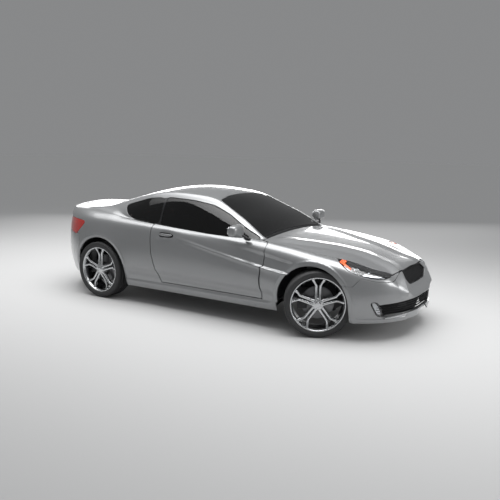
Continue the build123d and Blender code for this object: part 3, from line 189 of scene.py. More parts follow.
# %% Cutting the corners of an outline
def rounded(points, times=3, share=0.2):
    """The closed outline with its corners cut again and again, a share of each side at a time."""
    points = np.asarray(points, float)
    for _ in range(times):
        following = np.roll(points, -1, 0)
        points = np.stack([points * (1 - share) + following * share,
                           points * share + following * (1 - share)], 1).reshape(-1, 2)
        share = 0.25
    return points


# %% [markdown]
# ## The body as one surface
# On the real car the panels are pressed apart, but they're drawn as one flowing surface. They could be
# modelled one by one with Subdivision Surface, and would then meet badly at the shut lines. So the whole
# skin is made first. Each row of the tables is a section in millimetres: its x, then points on the base,
# side, shoulder, edge and centre line. The glasshouse and the lower body are joined by a soft maximum of
# their radii about a common centre.
# %% The lower body's sections, from tail to nose
BODY_STATIONS = np.array([
    (-2315, 180, 330, 215, 560, 190, 735, 160, 790, 808),
    (-2275, 340, 280, 390, 560, 355, 860, 310, 955, 985),
    (-2200, 480, 250, 545, 560, 505, 895, 445, 1005, 1046),
    (-2090, 590, 235, 668, 570, 625, 905, 550, 1025, 1064),
    (-1950, 690, 230, 775, 575, 735, 910, 610, 1034, 1072),
    (-1700, 820, 222, 892, 585, 845, 910, 655, 1034, 1075),
    (-1345, 865, 212, 932, 600, 868, 902, 700, 1005, 1060),
    (-900, 855, 205, 915, 560, 868, 880, 750, 965, 1005),
    (-300, 845, 200, 903, 540, 868, 850, 785, 925, 960),
    (300, 845, 195, 900, 530, 868, 820, 780, 895, 940),
    (880, 845, 195, 908, 530, 872, 782, 745, 882, 918),
    (1475, 850, 195, 925, 530, 880, 728, 742, 806, 848),
    (1800, 815, 190, 872, 480, 828, 670, 680, 738, 785),
    (2000, 710, 190, 770, 430, 738, 602, 605, 670, 726),
    (2120, 600, 190, 660, 400, 636, 570, 530, 636, 688),
    (2205, 480, 192, 538, 380, 522, 505, 452, 560, 594),
    (2265, 350, 194, 400, 350, 390, 430, 348, 458, 476),
    (2300, 240, 198, 275, 335, 268, 390, 240, 412, 425),
    (2315, 160, 206, 185, 330, 178, 368, 160, 386, 394),
]) / 1000

# %% The glasshouse's sections
GLASSHOUSE_STATIONS = np.array([
    (-1760, 640, 700, 640, 900, 610, 1000, 560, 1030, 1040),
    (-1450, 770, 700, 700, 960, 635, 1050, 570, 1085, 1128),
    (-1150, 815, 700, 715, 1010, 600, 1140, 535, 1174, 1214),
    (-800, 840, 700, 730, 1030, 590, 1222, 520, 1266, 1308),
    (-450, 850, 700, 745, 1030, 592, 1262, 520, 1304, 1352),
    (-150, 850, 700, 750, 1020, 590, 1250, 515, 1293, 1338),
    (120, 850, 700, 750, 1000, 578, 1208, 505, 1250, 1284),
    (350, 850, 700, 745, 980, 612, 1120, 545, 1150, 1186),
    (600, 850, 700, 752, 930, 672, 1008, 610, 1030, 1064),
    (815, 830, 700, 760, 850, 715, 888, 660, 905, 945),
    (1000, 800, 660, 740, 780, 700, 812, 640, 828, 850),
]) / 1000
HOUSE_REAR, HOUSE_FRONT = -1.76, 1.0
print("sections:", len(BODY_STATIONS), "of the body and", len(GLASSHOUSE_STATIONS), "of the glasshouse")

# %% How fine the surface is
ROWS = 560
HALF_COLUMNS = 150
CAP_ROWS = 10
NO_BELT = 9.0
print("sections:", ROWS, "with", 2 * HALF_COLUMNS - 1, "points each")

# %% Circles through three points
def arc(a, b, c, t):
    """Points at shares t along the circles through three points, one circle per row."""
    ax, ay, bx, by, cx, cy = *a.T, *b.T, *c.T
    d = 2 * (ax * (by - cy) + bx * (cy - ay) + cx * (ay - by))
    d = np.where(abs(d) < 1e-9, 1e-9, d)
    a2, b2, c2 = ax ** 2 + ay ** 2, bx ** 2 + by ** 2, cx ** 2 + cy ** 2
    ux = (a2 * (by - cy) + b2 * (cy - ay) + c2 * (ay - by)) / d
    uy = (a2 * (cx - bx) + b2 * (ax - cx) + c2 * (bx - ax)) / d
    start = np.arctan2(ay - uy, ax - ux)
    way = np.mod(np.arctan2(cy - uy, cx - ux) - start, 2 * np.pi)
    middle = np.mod(np.arctan2(by - uy, bx - ux) - start, 2 * np.pi)
    way = np.where(middle > way, way - 2 * np.pi, way)
    angle = start[:, None] + way[:, None] * t
    r = np.hypot(ax - ux, ay - uy)[:, None]
    return np.stack([ux[:, None] + r * np.cos(angle), uy[:, None] + r * np.sin(angle)], -1)

# %% Half a section as three arcs
def half_profiles(rows):
    """The left half of each cross-section from the base to the centre line, as (y, z) points."""
    base, side, shoulder, edge = rows[:, 1:3], rows[:, 3:5], rows[:, 5:7], rows[:, 7:9]
    chord = edge - shoulder
    bulge = (shoulder + edge) / 2 + 0.16 * np.stack([chord[:, 1], -chord[:, 0]], 1)
    crown = np.stack([np.zeros(len(rows)), rows[:, 9]], 1)
    far = edge * [-1, 1]
    return np.concatenate([arc(base, side, shoulder, np.linspace(0, 1, 60)[:-1]),
                           arc(shoulder, bulge, edge, np.linspace(0, 1, 30)[:-1]),
                           arc(edge, crown, far, np.linspace(0, 0.5, 60))], 1)

# %% Smoothing each section and drawing both ends in
def softened(whole, belt):
    """Each section averaged over eleven points with bell-shaped weights, except close to the belt line."""
    kernel = bump_at(np.arange(-5, 6), 0, 2.4)
    kernel /= kernel.sum()
    before = 2 * whole[:, :1] - whole[:, 5:0:-1]
    after = 2 * whole[:, -1:] - whole[:, -2:-7:-1]
    padded = np.concatenate([before, whole, after], 1)
    soft = sum(k * padded[:, j:j + whole.shape[1]] for j, k in enumerate(kernel))
    keep = smooth_step(abs(whole[:, :, 1] - belt[:, None]), 0.02, 0.05)[..., None]
    return whole + (soft - whole) * np.maximum(keep, (belt[:, None, None] > 5))


def drawn_in(grid):
    """The first and the last section drawn towards their own centres, down to a twentieth of their size."""
    caps = []
    for row in (grid[0], grid[-1]):
        centre = row.mean(0)
        caps.append(centre + (row - centre) * np.linspace(1, 0.05, CAP_ROWS)[1:, None, None])
    return np.concatenate([caps[0][::-1], grid, caps[1]])


# %% Body and glasshouse joined, row by row
def body_grid():
    """The whole outer surface as a grid from tail to nose and from the right base over to the left base,
    with the belt line's height in each row. Radii of body and glasshouse about (0, middle height) are
    joined by max(a, b) + k h (1 - h), with h the share of a in the blend and k the blend's width."""
    s = BODY_STATIONS
    steps = np.linalg.norm(np.diff(s[:, [0, 3, 9]], axis=0), axis=1)
    knots = np.concatenate([[0], np.cumsum(steps)])
    rows = spline(knots, s, np.linspace(0, knots[-1], ROWS))
    x = rows[:, 0]
    house_rows = spline(GLASSHOUSE_STATIONS[:, 0], GLASSHOUSE_STATIONS, np.clip(x, HOUSE_REAR, HOUSE_FRONT))
    body, house = half_profiles(rows), half_profiles(house_rows)
    middle = (rows[:, 2] + rows[:, 9]) / 2
    has_house = (x > HOUSE_REAR) & (x < HOUSE_FRONT)
    blend = 0.012 + 0.09 * smooth_step(-x, 0.95, 1.3) + 0.03 * smooth_step(x, 0.6, 0.9)
    points = np.zeros((ROWS, HALF_COLUMNS, 2))
    belt = np.full(ROWS, NO_BELT)
    for i in range(ROWS):
        angle = np.arctan2(body[i, :, 1] - middle[i], body[i, :, 0])
        around = np.linspace(angle[0], np.pi / 2, 420)
        r = np.interp(around, angle, np.hypot(body[i, :, 0], body[i, :, 1] - middle[i]))
        if has_house[i]:
            house_angle = np.arctan2(house[i, :, 1] - middle[i], house[i, :, 0])
            house_radius = np.hypot(house[i, :, 0], house[i, :, 1] - middle[i])
            far = np.interp(around, house_angle, house_radius, left=0)
            over = np.nonzero(far > r)[0]
            if len(over):
                belt[i] = middle[i] + r[over[0]] * np.sin(around[over[0]])
            share = np.clip(0.5 + 0.5 * (r - far) / blend[i], 0, 1)
            r = far + (r - far) * share + blend[i] * share * (1 - share)
        p = np.stack([r * np.cos(around), middle[i] + r * np.sin(around)], 1)
        run = np.concatenate([[0], np.cumsum(np.linalg.norm(np.diff(p, axis=0), axis=1))])
        even = np.linspace(0, run[-1], HALF_COLUMNS)
        points[i, :, 0] = np.interp(even, run, p[:, 0])
        points[i, :, 1] = np.interp(even, run, p[:, 1])
    points[:, -1, 0] = 0
    whole = np.concatenate([points * [-1, 1], points[:, -2::-1]], 1)
    whole = softened(whole, belt)
    grid = np.concatenate([np.broadcast_to(x[:, None, None], whole.shape[:2] + (1,)), whole], 2)
    no_belt = np.full(CAP_ROWS - 1, NO_BELT)
    return drawn_in(grid), np.concatenate([no_belt, belt, no_belt])

# %% Which way the skin faces
def grid_normals(p):
    """Outward normals of the grid from the cross product of its two differences."""
    n = np.cross(np.gradient(p, axis=0), np.gradient(p, axis=1))
    n = unit(n)
    return -n if n[ROWS // 2, HALF_COLUMNS, 2] < 0 else n


SURFACE, BELT = body_grid()
NORMALS = grid_normals(SURFACE)
print("skin:", SURFACE.shape[0], "sections of", SURFACE.shape[1], "points")

# %% [markdown]
# ## Creases and folds
# Pressed steel is stiff because it's folded: a scoop behind the front wheel, lips round the arches,
# ridges over the bonnet. They could be sculpted, or drawn by a bump map that vanishes at the edge. Here
# each one is a formula for a small height along the surface's normal, so it's true shape and easy to
# move.
# %% Where the axles and arches are
FRONT_AXLE = (1.475, 0.334)
REAR_AXLE = (-1.345, 0.339)
ARCH_RADII = (0.372, 0.392)
print("wheelbase:", FRONT_AXLE[0] - REAR_AXLE[0], "m")

# %% The height of every fold
def relief(p, n):
    """Height of the folds over the plain surface, from each place's x, |y| and z: a sum of bells and steps,
    each marked below, and each faded out where its fold ends."""
    x, y, z = p[..., 0], abs(p[..., 1]), p[..., 2]
    side = smooth_step(abs(n[..., 1]), 0.35, 0.7)
    top = smooth_step(n[..., 2], 0.25, 0.6)
    # the scoop: t is the height over its crease, which climbs backwards from the front arch
    t = z - np.interp(x, [-0.5, -0.326, -0.007, 0.272, 0.662, 0.960, 1.238, 1.4],
                      [0.876, 0.848, 0.792, 0.738, 0.672, 0.626, 0.596, 0.588])
    length = smooth_step(x, -0.36, 0.15) * (1 - smooth_step(x, 1.16, 1.34))
    deep = 0.30 + 0.70 * smooth_step(x, 0.3, 1.0)
    upper_end = 0.17 - 0.03 * smooth_step(x, 0.9, 1.2)
    above = smooth_step(t, -0.006, 0.020) * (1 - smooth_step(t, 0.11, upper_end))
    ridge, hollow_below = 0.007 * bump_at(t, 0, 0.014), 0.004 * bump_at(t, -0.05, 0.05)
    d = side * length * (ridge - 0.026 * deep * above - hollow_below)
    # the skirt below the doors, and the lip under the nose
    between = smooth_step(x, -0.98, -0.90) * (1 - smooth_step(x, 0.98, 1.06))
    d = d + side * between * 0.014 * (1 - smooth_step(z, 0.262, 0.296)) * smooth_step(z, 0.17, 0.21)
    d = d + 0.010 * smooth_step(x, 1.75, 1.95) * (1 - smooth_step(z, 0.222, 0.240)) * (x < 2.262)
    # the hollow behind the pull handle, and the band low on the door
    d = d - side * 0.020 * bump_at(x, -0.350, 0.082) ** 0.6 * bump_at(z, 0.840, 0.040)
    lower = 0.335 + 0.03 * smooth_step(-x, -0.9, 0.9)
    d = d - side * 0.012 * bump_at(z, lower + 0.02, 0.045) * smooth_step(x, -0.95, -0.85) * (
        1 - smooth_step(x, 1.0, 1.1))
    # a raised lip round each arch
    for (ax, az), radius in zip((FRONT_AXLE, REAR_AXLE), ARCH_RADII):
        r = np.where(z > az, np.hypot(x - ax, z - az), abs(x - ax))
        lip = radius + 0.036
        d = d + side * (0.006 * bump_at(r, lip, 0.010) * (r > lip) + (r <= lip) * (
            0.006 - 0.010 * smooth_step(lip - r, 0, 0.04)) + 0.003 * bump_at(r, lip, 0.07) * (r > lip))
    # the folds over the bonnet that run down into the nose
    fold = np.interp(x, [0.80, 1.13, 1.475, 1.785, 2.025, 2.163, 2.235, 2.275],
                     [0.640, 0.500, 0.350, 0.275, 0.275, 0.335, 0.372, 0.375])
    tent = np.maximum(0, 1 - abs(y - fold) / 0.13) ** 1.2
    on_nose = smooth_step(x, 0.86, 1.0) * smooth_step(z, 0.40, 0.46)
    at_front = smooth_step(x, 2.1, 2.2)
    d = d + (0.014 + 0.010 * at_front) * tent * on_nose * np.maximum(top, at_front)
    d = d - 0.007 * bump_at(y - fold, 0.15, 0.08) * top * smooth_step(x, 0.9, 1.1)
    # the raised rear edge of the boot lid, and the hollow below it
    rear = (1 - smooth_step(x, -2.20, -2.08)) * (1 - smooth_step(y, 0.50, 0.66))
    d = d + 0.020 * rear * smooth_step(z, 0.98, 1.03)
    d = d - 0.010 * smooth_step(-x, 2.1, 2.2) * bump_at(z, 0.80, 0.05) * (y < 0.5)
    return d

# %% The skin with its folds, and its triangles
HEIGHTS = relief(SURFACE, NORMALS)
print(f"folds from {1000 * HEIGHTS.min():.1f} to {1000 * HEIGHTS.max():.1f} mm")
SURFACE = SURFACE + NORMALS * HEIGHTS[..., None]
NORMALS = grid_normals(SURFACE)
X, Y, Z = SURFACE[..., 0], SURFACE[..., 1], SURFACE[..., 2]
AY = abs(Y)
quads = grid_faces(*SURFACE.shape[:2])
first = SURFACE.reshape(-1, 3)[quads[ROWS // 2 * (SURFACE.shape[1] - 1) + HALF_COLUMNS]]
if np.cross(first[1] - first[0], first[2] - first[1])[2] < 0:
    quads = quads[:, ::-1]
TRIANGLES = np.concatenate([quads[:, [0, 1, 2]], quads[:, [0, 2, 3]]])
print("triangles of the skin:", len(TRIANGLES))

# %% [markdown]
# ## A pressed panel
# A panel is the part of the skin inside an outline, with its edge rolled back. A Boolean modifier could
# cut it, and would leave ragged triangles and lose the smooth shading. Here a field of numbers, less than
# 0 inside the outline, is read at each point of the skin, and triangles that the border crosses are cut
# where it is 0. Four rings roll the edge over, and a wall or an inner skin gives the sheet its thickness.
# %% Cutting the skin along a field
def clip(field, p, n):
    """The part of the surface where field is less than 0: its vertices, normals and triangles.
    A triangle that the border crosses is cut where the field, taken as straight along each side, is 0."""
    f = field.ravel()
    p, n = p.reshape(-1, 3), n.reshape(-1, 3)
    f = np.where(abs(f) < 1e-7, 1e-7, f)
    inside = f[TRIANGLES] < 0
    count = inside.sum(1)
    tris = TRIANGLES[count > 0]
    inside, count = inside[count > 0], count[count > 0]
    turn = np.where(count == 1, inside.argmax(1), (~inside).argmax(1))
    order = (turn[:, None] + np.arange(3)) % 3
    tris = np.take_along_axis(tris, order, 1)
    one, two = tris[count == 1], tris[count == 2]
    pairs = np.concatenate([one[:, [0, 1]], one[:, [0, 2]], two[:, [0, 1]], two[:, [0, 2]]])
    lo, hi = pairs.min(1).astype(np.int64), pairs.max(1).astype(np.int64)
    keys, at = np.unique(lo * len(f) + hi, return_inverse=True)
    lo, hi = keys // len(f), keys % len(f)
    t = (f[lo] / (f[lo] - f[hi]))[:, None]
    new_p = p[lo] + (p[hi] - p[lo]) * t
    new_n = unit(n[lo] + (n[hi] - n[lo]) * t)
    at = at.ravel() + len(f)
    a, b, c, d = np.split(at, np.cumsum([len(one), len(one), len(two)]))
    faces = np.concatenate([tris[count == 3], np.stack([one[:, 0], a, b], 1),
                            np.stack([two[:, 1], two[:, 2], d], 1), np.stack([two[:, 1], d, c], 1)])
    used, faces = np.unique(faces, return_inverse=True)
    faces = faces.reshape(-1, 3)
    all_p, all_n = np.concatenate([p, new_p]), np.concatenate([n, new_n])
    return all_p[used], all_n[used], faces

# %% The border of a cut piece
def border_of(faces, total):
    """Edges, each with its direction, that only one triangle has: those whose two ends occur together
    once."""
    edges = np.concatenate([faces[:, [0, 1]], faces[:, [1, 2]], faces[:, [2, 0]]]).astype(np.int64)
    keys = edges.min(1) * total + edges.max(1)
    _, at, count = np.unique(keys, return_index=True, return_counts=True)
    return edges[at[count == 1]]

# %% A sheet with a rolled edge
def wall(before, now, where):
    """Quads between two rings of points, one for each edge of the border."""
    return np.stack([before[where[:, 1]], before[where[:, 0]], now[where[:, 0]], now[where[:, 1]]], 1)


def panel(name, field, thick=0.014, bead=0.0022, lift=0.0, inner=False, to_inside=None):
    """A pressed panel: the surface inside the field, a rolled edge all round it, and an inner skin if asked.
    Each ring of the edge lies bead x reach outwards and bead x drop below the border."""
    p, n, faces = clip(field + bead, SURFACE + NORMALS * lift, NORMALS)
    border = border_of(faces, len(p))
    along = p[border[:, 1]] - p[border[:, 0]]
    out = np.cross(along, n[border[:, 0]])
    at_vertex = np.zeros_like(p)
    np.add.at(at_vertex, border[:, 0], out)
    np.add.at(at_vertex, border[:, 1], out)
    edge, where = np.unique(border, return_inverse=True)
    where = where.reshape(-1, 2)
    o, pn, q = unit(at_vertex[edge]), n[edge], p[edge]
    all_p, all_n, groups = [p], [n], [faces]
    before = edge
    total = len(p)
    rings = [(0.3, 0.06, 0.35), (0.72, 0.30, 0.75), (0.95, 0.65, 0.95), (1.0, 1.0, 1.0)]
    for reach, drop, tilt in rings + [(1.0, thick / bead, 1.0)]:
        all_p.append(q + o * bead * reach - pn * bead * drop)
        all_n.append(unit(o * tilt + pn * (1 - tilt)))
        now = total + np.arange(len(edge))
        groups.append(wall(before, now, where))
        before = now
        total += len(edge)
    if inner:
        back = p - n * thick if to_inside is None else to_inside(p, n)
        all_p.append(back)
        all_n.append(-n)
        groups.append(faces[:, ::-1] + total)
        now = total + edge
        groups.append(wall(before, now, where))
    quads_ = [g for g in groups if g.shape[1] == 4]
    tris_ = [g for g in groups if g.shape[1] == 3]
    return new_object(name, np.concatenate(all_p), [np.concatenate(tris_), np.concatenate(quads_)],
                      np.concatenate(all_n))


# %% [markdown]
# ## Outlines
# A designer draws a car in the side view (x, z), the front view (y, z) and the plan (x, y). Each shut
# line and pane is an outline in one of them, in millimetres. Regions are fields of numbers too: the
# larger of two fields is where both hold, and the smaller is where either does.
# %% Ways to join regions
def mm(points):
    """Points given in millimetres as an array in metres."""
    return np.array(points, float) / 1000


def over(field):
    """The outside of a region: its field with the sign turned round."""
    return -field


def both(*fields):
    """The places that lie in every region: the largest of their fields."""
    result = fields[0]
    for f in fields[1:]:
        result = np.maximum(result, f)
    return result


def either(*fields):
    """The places that lie in any region: the smallest of their fields."""
    result = fields[0]
    for f in fields[1:]:
        result = np.minimum(result, f)
    return result


def whole_outline(half):
    """A half outline followed by its mirror image across y = 0, back to front."""
    return np.concatenate([half, half[-2:0:-1] * [1, -1]])


def arch_field(axle, radius):
    """Less than 0 inside a wheel arch and straight down from it."""
    x, z = axle
    return np.where(Z > z, np.hypot(X - x, Z - z), abs(X - x)) - radius

# %% Outlines in the side view
SIDE = dict(
    door_rear=mm([(-575, 1000), (-562, 800), (-535, 620), (-480, 440), (-400, 305)]),
    door_glass=mm([(800, 780), (800, 900), (560, 1006), (350, 1108), (125, 1190), (-150, 1229), (-450, 1240),
                   (-520, 1238), (-470, 780)]),
    quarter_glass=mm([(-552, 1240), (-800, 1216), (-1095, 1130), (-1130, 1105), (-1040, 1010), (-880, 965),
                      (-506, 940)]),
    headlamp=mm([(1600, 792), (1690, 772), (1745, 738), (1831, 684), (1902, 656), (2017, 622), (2128, 612),
                 (2150, 640), (2040, 720), (1900, 850), (1700, 900)]),
    tail_lamp=mm([(-1622, 912), (-1624, 868), (-1790, 716), (-1900, 752), (-2400, 792), (-2400, 915),
                  (-1900, 922)]),
    bumper=mm([(1700, 0), (1700, 548), (1880, 548), (1940, 624), (2060, 590), (2172, 582), (2172, 900),
               (2500, 900), (2500, 0)]),
)
print("side view:", ", ".join(SIDE))

# %% Outlines in the front view
FRONT = dict(
    upper_grille=mm([(0, 512), (235, 514), (325, 585), (288, 655), (0, 660), (-288, 655), (-325, 585),
                     (-235, 514)]),
    lower_grille=mm([(0, 266), (290, 262), (500, 250), (640, 243), (668, 262), (700, 372), (520, 382),
                     (250, 392), (0, 396), (-250, 392), (-520, 382), (-700, 372), (-668, 262), (-640, 243),
                     (-500, 250), (-290, 262)]),
    fog_lamp=mm([(628, 262), (676, 248), (752, 392), (700, 408)]),
)
print("front view:", ", ".join(FRONT))

# %% Outlines in the plan
PLAN = dict(
    windscreen=whole_outline(mm([(935, 0), (935, 655), (815, 668), (600, 622), (350, 556), (132, 505),
                                 (112, 0)])),
    rear_glass=whole_outline(mm([(-915, 0), (-905, 500), (-1200, 520), (-1480, 545), (-1560, 520),
                                 (-1590, 0)])),
    bonnet=whole_outline(mm([(862, 0), (852, 742), (1150, 755), (1475, 735), (1640, 692), (1800, 622),
                             (2000, 545), (2130, 450), (2160, 350), (2160, 0)])),
)
print("plan:", ", ".join(PLAN))

# %% Regions of the nose
GAP = 0.006
belt = BELT[:, None]
above_belt = belt - Z
in_bonnet = both(outline_distance(PLAN["bonnet"], X, Y), 0.52 - Z)
in_lamp = both(outline_distance(rounded(SIDE["headlamp"], 3, 0.15), X, Z), 0.25 - AY)
in_bumper = outline_distance(SIDE["bumper"], X, Z)
in_front_arch = arch_field(FRONT_AXLE, ARCH_RADII[0])
in_rear_arch = arch_field(REAR_AXLE, ARCH_RADII[1])
in_fog = both(outline_distance(rounded(FRONT["fog_lamp"], 2), AY, Z), 1.9 - X)
in_upper_grille = both(outline_distance(rounded(FRONT["upper_grille"], 3, 0.12), Y, Z), 1.9 - X)
in_lower_grille = both(outline_distance(rounded(FRONT["lower_grille"], 2, 0.12), Y, Z), 1.9 - X,
                       over(in_fog - 0.006))
print("points of the skin in the bonnet:", int((in_bonnet < 0).sum()))

# %% Regions of the tail
in_boot = both(X + 1.640, AY - 0.575, 0.815 - Z)
in_tail_lamp = both(outline_distance(rounded(SIDE["tail_lamp"], 2), X, Z), 0.42 - AY)
print("points of the skin in the boot lid:", int((in_boot < 0).sum()))

# %% Regions of the doors and their glass
door_outline = np.concatenate([mm([(840, 305), (840, 1000)]), SIDE["door_rear"]])
hinge = np.hypot(X - 0.84, AY - 0.835) - 0.088
in_door = either(outline_distance(door_outline, X, Z), both(0.839 - X, hinge, 0.305 - Z, Z - 1.0))
in_door_glass = outline_distance(rounded(SIDE["door_glass"], 2, 0.1), X, Z)
in_quarter_glass = outline_distance(rounded(SIDE["quarter_glass"], 3, 0.15), X, Z)
on_side = 0.48 - AY
print("points of the skin in the door glass:", int((in_door_glass < 0).sum()))

# %% Regions of the pillar, the roof and the large panes
PILLAR = mm([(-620, 880), (-620, 1244), (-500, 1246), (-420, 1238), (-420, 880)])
in_pillar = both(outline_distance(PILLAR, X, Z), on_side, belt + 0.002 - Z,
                 over(in_door_glass - 0.004), over(in_quarter_glass - 0.001),
                 Z - 1.236 + 0.10 * abs(X + 0.5))
in_windscreen = both(outline_distance(rounded(PLAN["windscreen"], 2, 0.1), X, Y), 0.80 - Z)
in_rear_glass = both(outline_distance(rounded(PLAN["rear_glass"], 3, 0.15), X, Y), 1.04 - Z)
in_roof = both(X - 0.110, -0.900 - X, AY - 0.508, 1.0 - Z)
right, left = Y, -Y
print("points of the skin in a door region:", int((in_door < 0).sum()))

# %% [markdown]
# ## Materials
# Each finish is a Principled shader with procedural textures on Object coordinates, so nothing is painted
# and nothing slides when a part moves. Images would look richer close up, but they need unwrapped
# surfaces and can't be checked as easily. The first tools set sockets, textures, colour ramps and bumps.
# %% A material with constants on its sockets
def material(name, base=(0.5, 0.5, 0.5), **sockets):
    """A Principled material with constants on its own sockets, and its node tree for more."""
    made = bpy.data.materials.new(name)
    made.use_nodes = True
    tree = made.node_tree
    shader = tree.nodes["Principled BSDF"]
    shader.inputs["Base Color"].default_value = (*base, 1)
    for key, value in sockets.items():
        shader.inputs[key.replace("_", " ").title().replace("Ior", "IOR")].default_value = value
    return made, tree, shader


def link(tree, a, b):
    """Joins an output socket to an input socket."""
    tree.links.new(a, b)

# %% A texture on Object coordinates
def texture(tree, kind, scale, stretch=(1, 1, 1), **settings):
    """A procedural texture on Object coordinates, stretched along the axes."""
    coordinates = tree.nodes.new("ShaderNodeTexCoord")
    mapping = tree.nodes.new("ShaderNodeMapping")
    mapping.inputs["Scale"].default_value = stretch
    node = tree.nodes.new(kind)
    node.inputs["Scale"].default_value = scale
    for key, value in settings.items():
        if key == "bands_direction":
            setattr(node, key, value)
        else:
            node.inputs[key.replace("_", " ").title()].default_value = value
    link(tree, coordinates.outputs["Object"], mapping.inputs["Vector"])
    link(tree, mapping.outputs["Vector"], node.inputs["Vector"])
    return node

# %% Colour ramps and bumps
def ramp(tree, source, low, high, low_colour, high_colour):
    """A colour that goes from one to another as the source goes from low to high."""
    node = tree.nodes.new("ShaderNodeValToRGB")
    node.color_ramp.elements[0].position = low
    node.color_ramp.elements[1].position = high
    node.color_ramp.elements[0].color = (*low_colour, 1)
    node.color_ramp.elements[1].color = (*high_colour, 1)
    link(tree, source, node.inputs["Fac"])
    return node.outputs["Color"]


def raise_bump(tree, shader, source, strength, distance):
    """Tilts the shading by the source's slope, times a strength, as if it stood up by a distance."""
    node = tree.nodes.new("ShaderNodeBump")
    node.inputs["Strength"].default_value = strength
    node.inputs["Distance"].default_value = distance
    link(tree, source, node.inputs["Height"])
    link(tree, node.outputs["Normal"], shader.inputs["Normal"])

# %% [markdown]
# ## Silver paint
# Metallic paint is a coloured coat with tiny flakes in it under a clear coat. The flakes could be real
# geometry only at enormous cost. A fine Voronoi texture varies the colour from cell to cell instead, and
# the shader's own coat gives the sharp reflection on top.
# %% Silver paint
def paint_material():
    """Silver metallic paint: fine flakes vary its colour, under a clear coat."""
    made, tree, shader = material("silver_paint", (0.42, 0.425, 0.43), metallic=0.62, roughness=0.34,
                                  coat_weight=0.8, coat_roughness=0.03)
    flakes = texture(tree, "ShaderNodeTexVoronoi", 900.0)
    colour = ramp(tree, flakes.outputs["Color"], 0.2, 0.9, (0.24, 0.245, 0.25), (0.31, 0.315, 0.32))
    link(tree, colour, shader.inputs["Base Color"])
    return made

# %% [markdown]
# ## Mouldings, rubber and castings
# Moulded plastic, tyre rubber and cast iron are plain colours broken by a fine grain. Noise drives both
# the colour and a slight bump, so the two agree, as they do on a real grained surface.
# %% Mouldings, rubber and castings
def grained(name, base, roughness, grain, depth=0.0004, spread=0.25, **sockets):
    """Moulded plastic, rubber or cast metal with a fine grain and slight variation of its colour."""
    made, tree, shader = material(name, base, roughness=roughness, **sockets)
    noise = texture(tree, "ShaderNodeTexNoise", grain, detail=6.0, roughness=0.6)
    low = tuple(c * (1 - spread) for c in base)
    high = tuple(c * (1 + spread) for c in base)
    link(tree, ramp(tree, noise.outputs["Fac"], 0.3, 0.7, low, high), shader.inputs["Base Color"])
    raise_bump(tree, shader, noise.outputs["Fac"], 0.35, depth)
    return made

# %% [markdown]
# ## Machined metal
# A cutting tool leaves fine lines along one way. The same noise, stretched along an axis, gives them.
# %% Machined metal
def brushed(name, base, roughness, stretch, scale=120.0):
    """Machined or brushed metal with fine lines along one way."""
    made, tree, shader = material(name, base, metallic=1.0, roughness=roughness)
    noise = texture(tree, "ShaderNodeTexNoise", scale, stretch, detail=4.0)
    low = tuple(c * 0.85 for c in base)
    high = tuple(min(1, c * 1.1) for c in base)
    link(tree, ramp(tree, noise.outputs["Fac"], 0.35, 0.65, low, high), shader.inputs["Base Color"])
    raise_bump(tree, shader, noise.outputs["Fac"], 0.1, 0.0003)
    return made

# %% [markdown]
# ## Seat cloth
# Cloth is threads that cross over and under. Two wave textures at an angle, joined by their maximum,
# raise whichever thread is on top, and a soft sheen gives the fuzz.
# %% Seat cloth
def woven(name, base):
    """A weave of two crossing waves, with a soft sheen."""
    made, tree, shader = material(name, base, roughness=0.85, sheen_weight=0.3)
    one = texture(tree, "ShaderNodeTexWave", 160.0, bands_direction="Y", distortion=0.6)
    two = texture(tree, "ShaderNodeTexWave", 160.0, bands_direction="DIAGONAL", distortion=0.6)
    both_ = tree.nodes.new("ShaderNodeMath")
    both_.operation = "MAXIMUM"
    link(tree, one.outputs["Fac"], both_.inputs[0])
    link(tree, two.outputs["Fac"], both_.inputs[1])
    dark = tuple(c * 0.6 for c in base)
    light = tuple(c * 1.4 for c in base)
    link(tree, ramp(tree, both_.outputs[0], 0.2, 0.8, dark, light), shader.inputs["Base Color"])
    raise_bump(tree, shader, both_.outputs[0], 0.5, 0.0006)
    return made

# %% [markdown]
# ## Glass and lenses
# Window glass is a tinted sheet and a headlamp's cover is a clear one. Light passes through both by the
# shader's transmission. Coloured lenses and reflectors have fine ribs, which a wave texture draws. They
# stay opaque, because nothing behind them is modelled that could show.
# %% Glass and lamp lenses
def glazed(name, base, roughness=0.0, haze=0.03):
    """Clear or tinted glass, with the faintest waviness."""
    made, tree, shader = material(name, base, roughness=roughness, transmission_weight=1.0, ior=1.45)
    noise = texture(tree, "ShaderNodeTexNoise", 3.0)
    raise_bump(tree, shader, noise.outputs["Fac"], haze, 0.001)
    return made


def ribbed(name, base, ribs, **sockets):
    """A lamp's lens or reflector with fine upright ribs."""
    made, tree, shader = material(name, base, **sockets)
    wave = texture(tree, "ShaderNodeTexWave", ribs, bands_direction="Y")
    low = tuple(c * 0.7 for c in base)
    link(tree, ramp(tree, wave.outputs["Fac"], 0.0, 1.0, low, base), shader.inputs["Base Color"])
    raise_bump(tree, shader, wave.outputs["Fac"], 0.3, 0.001)
    return made

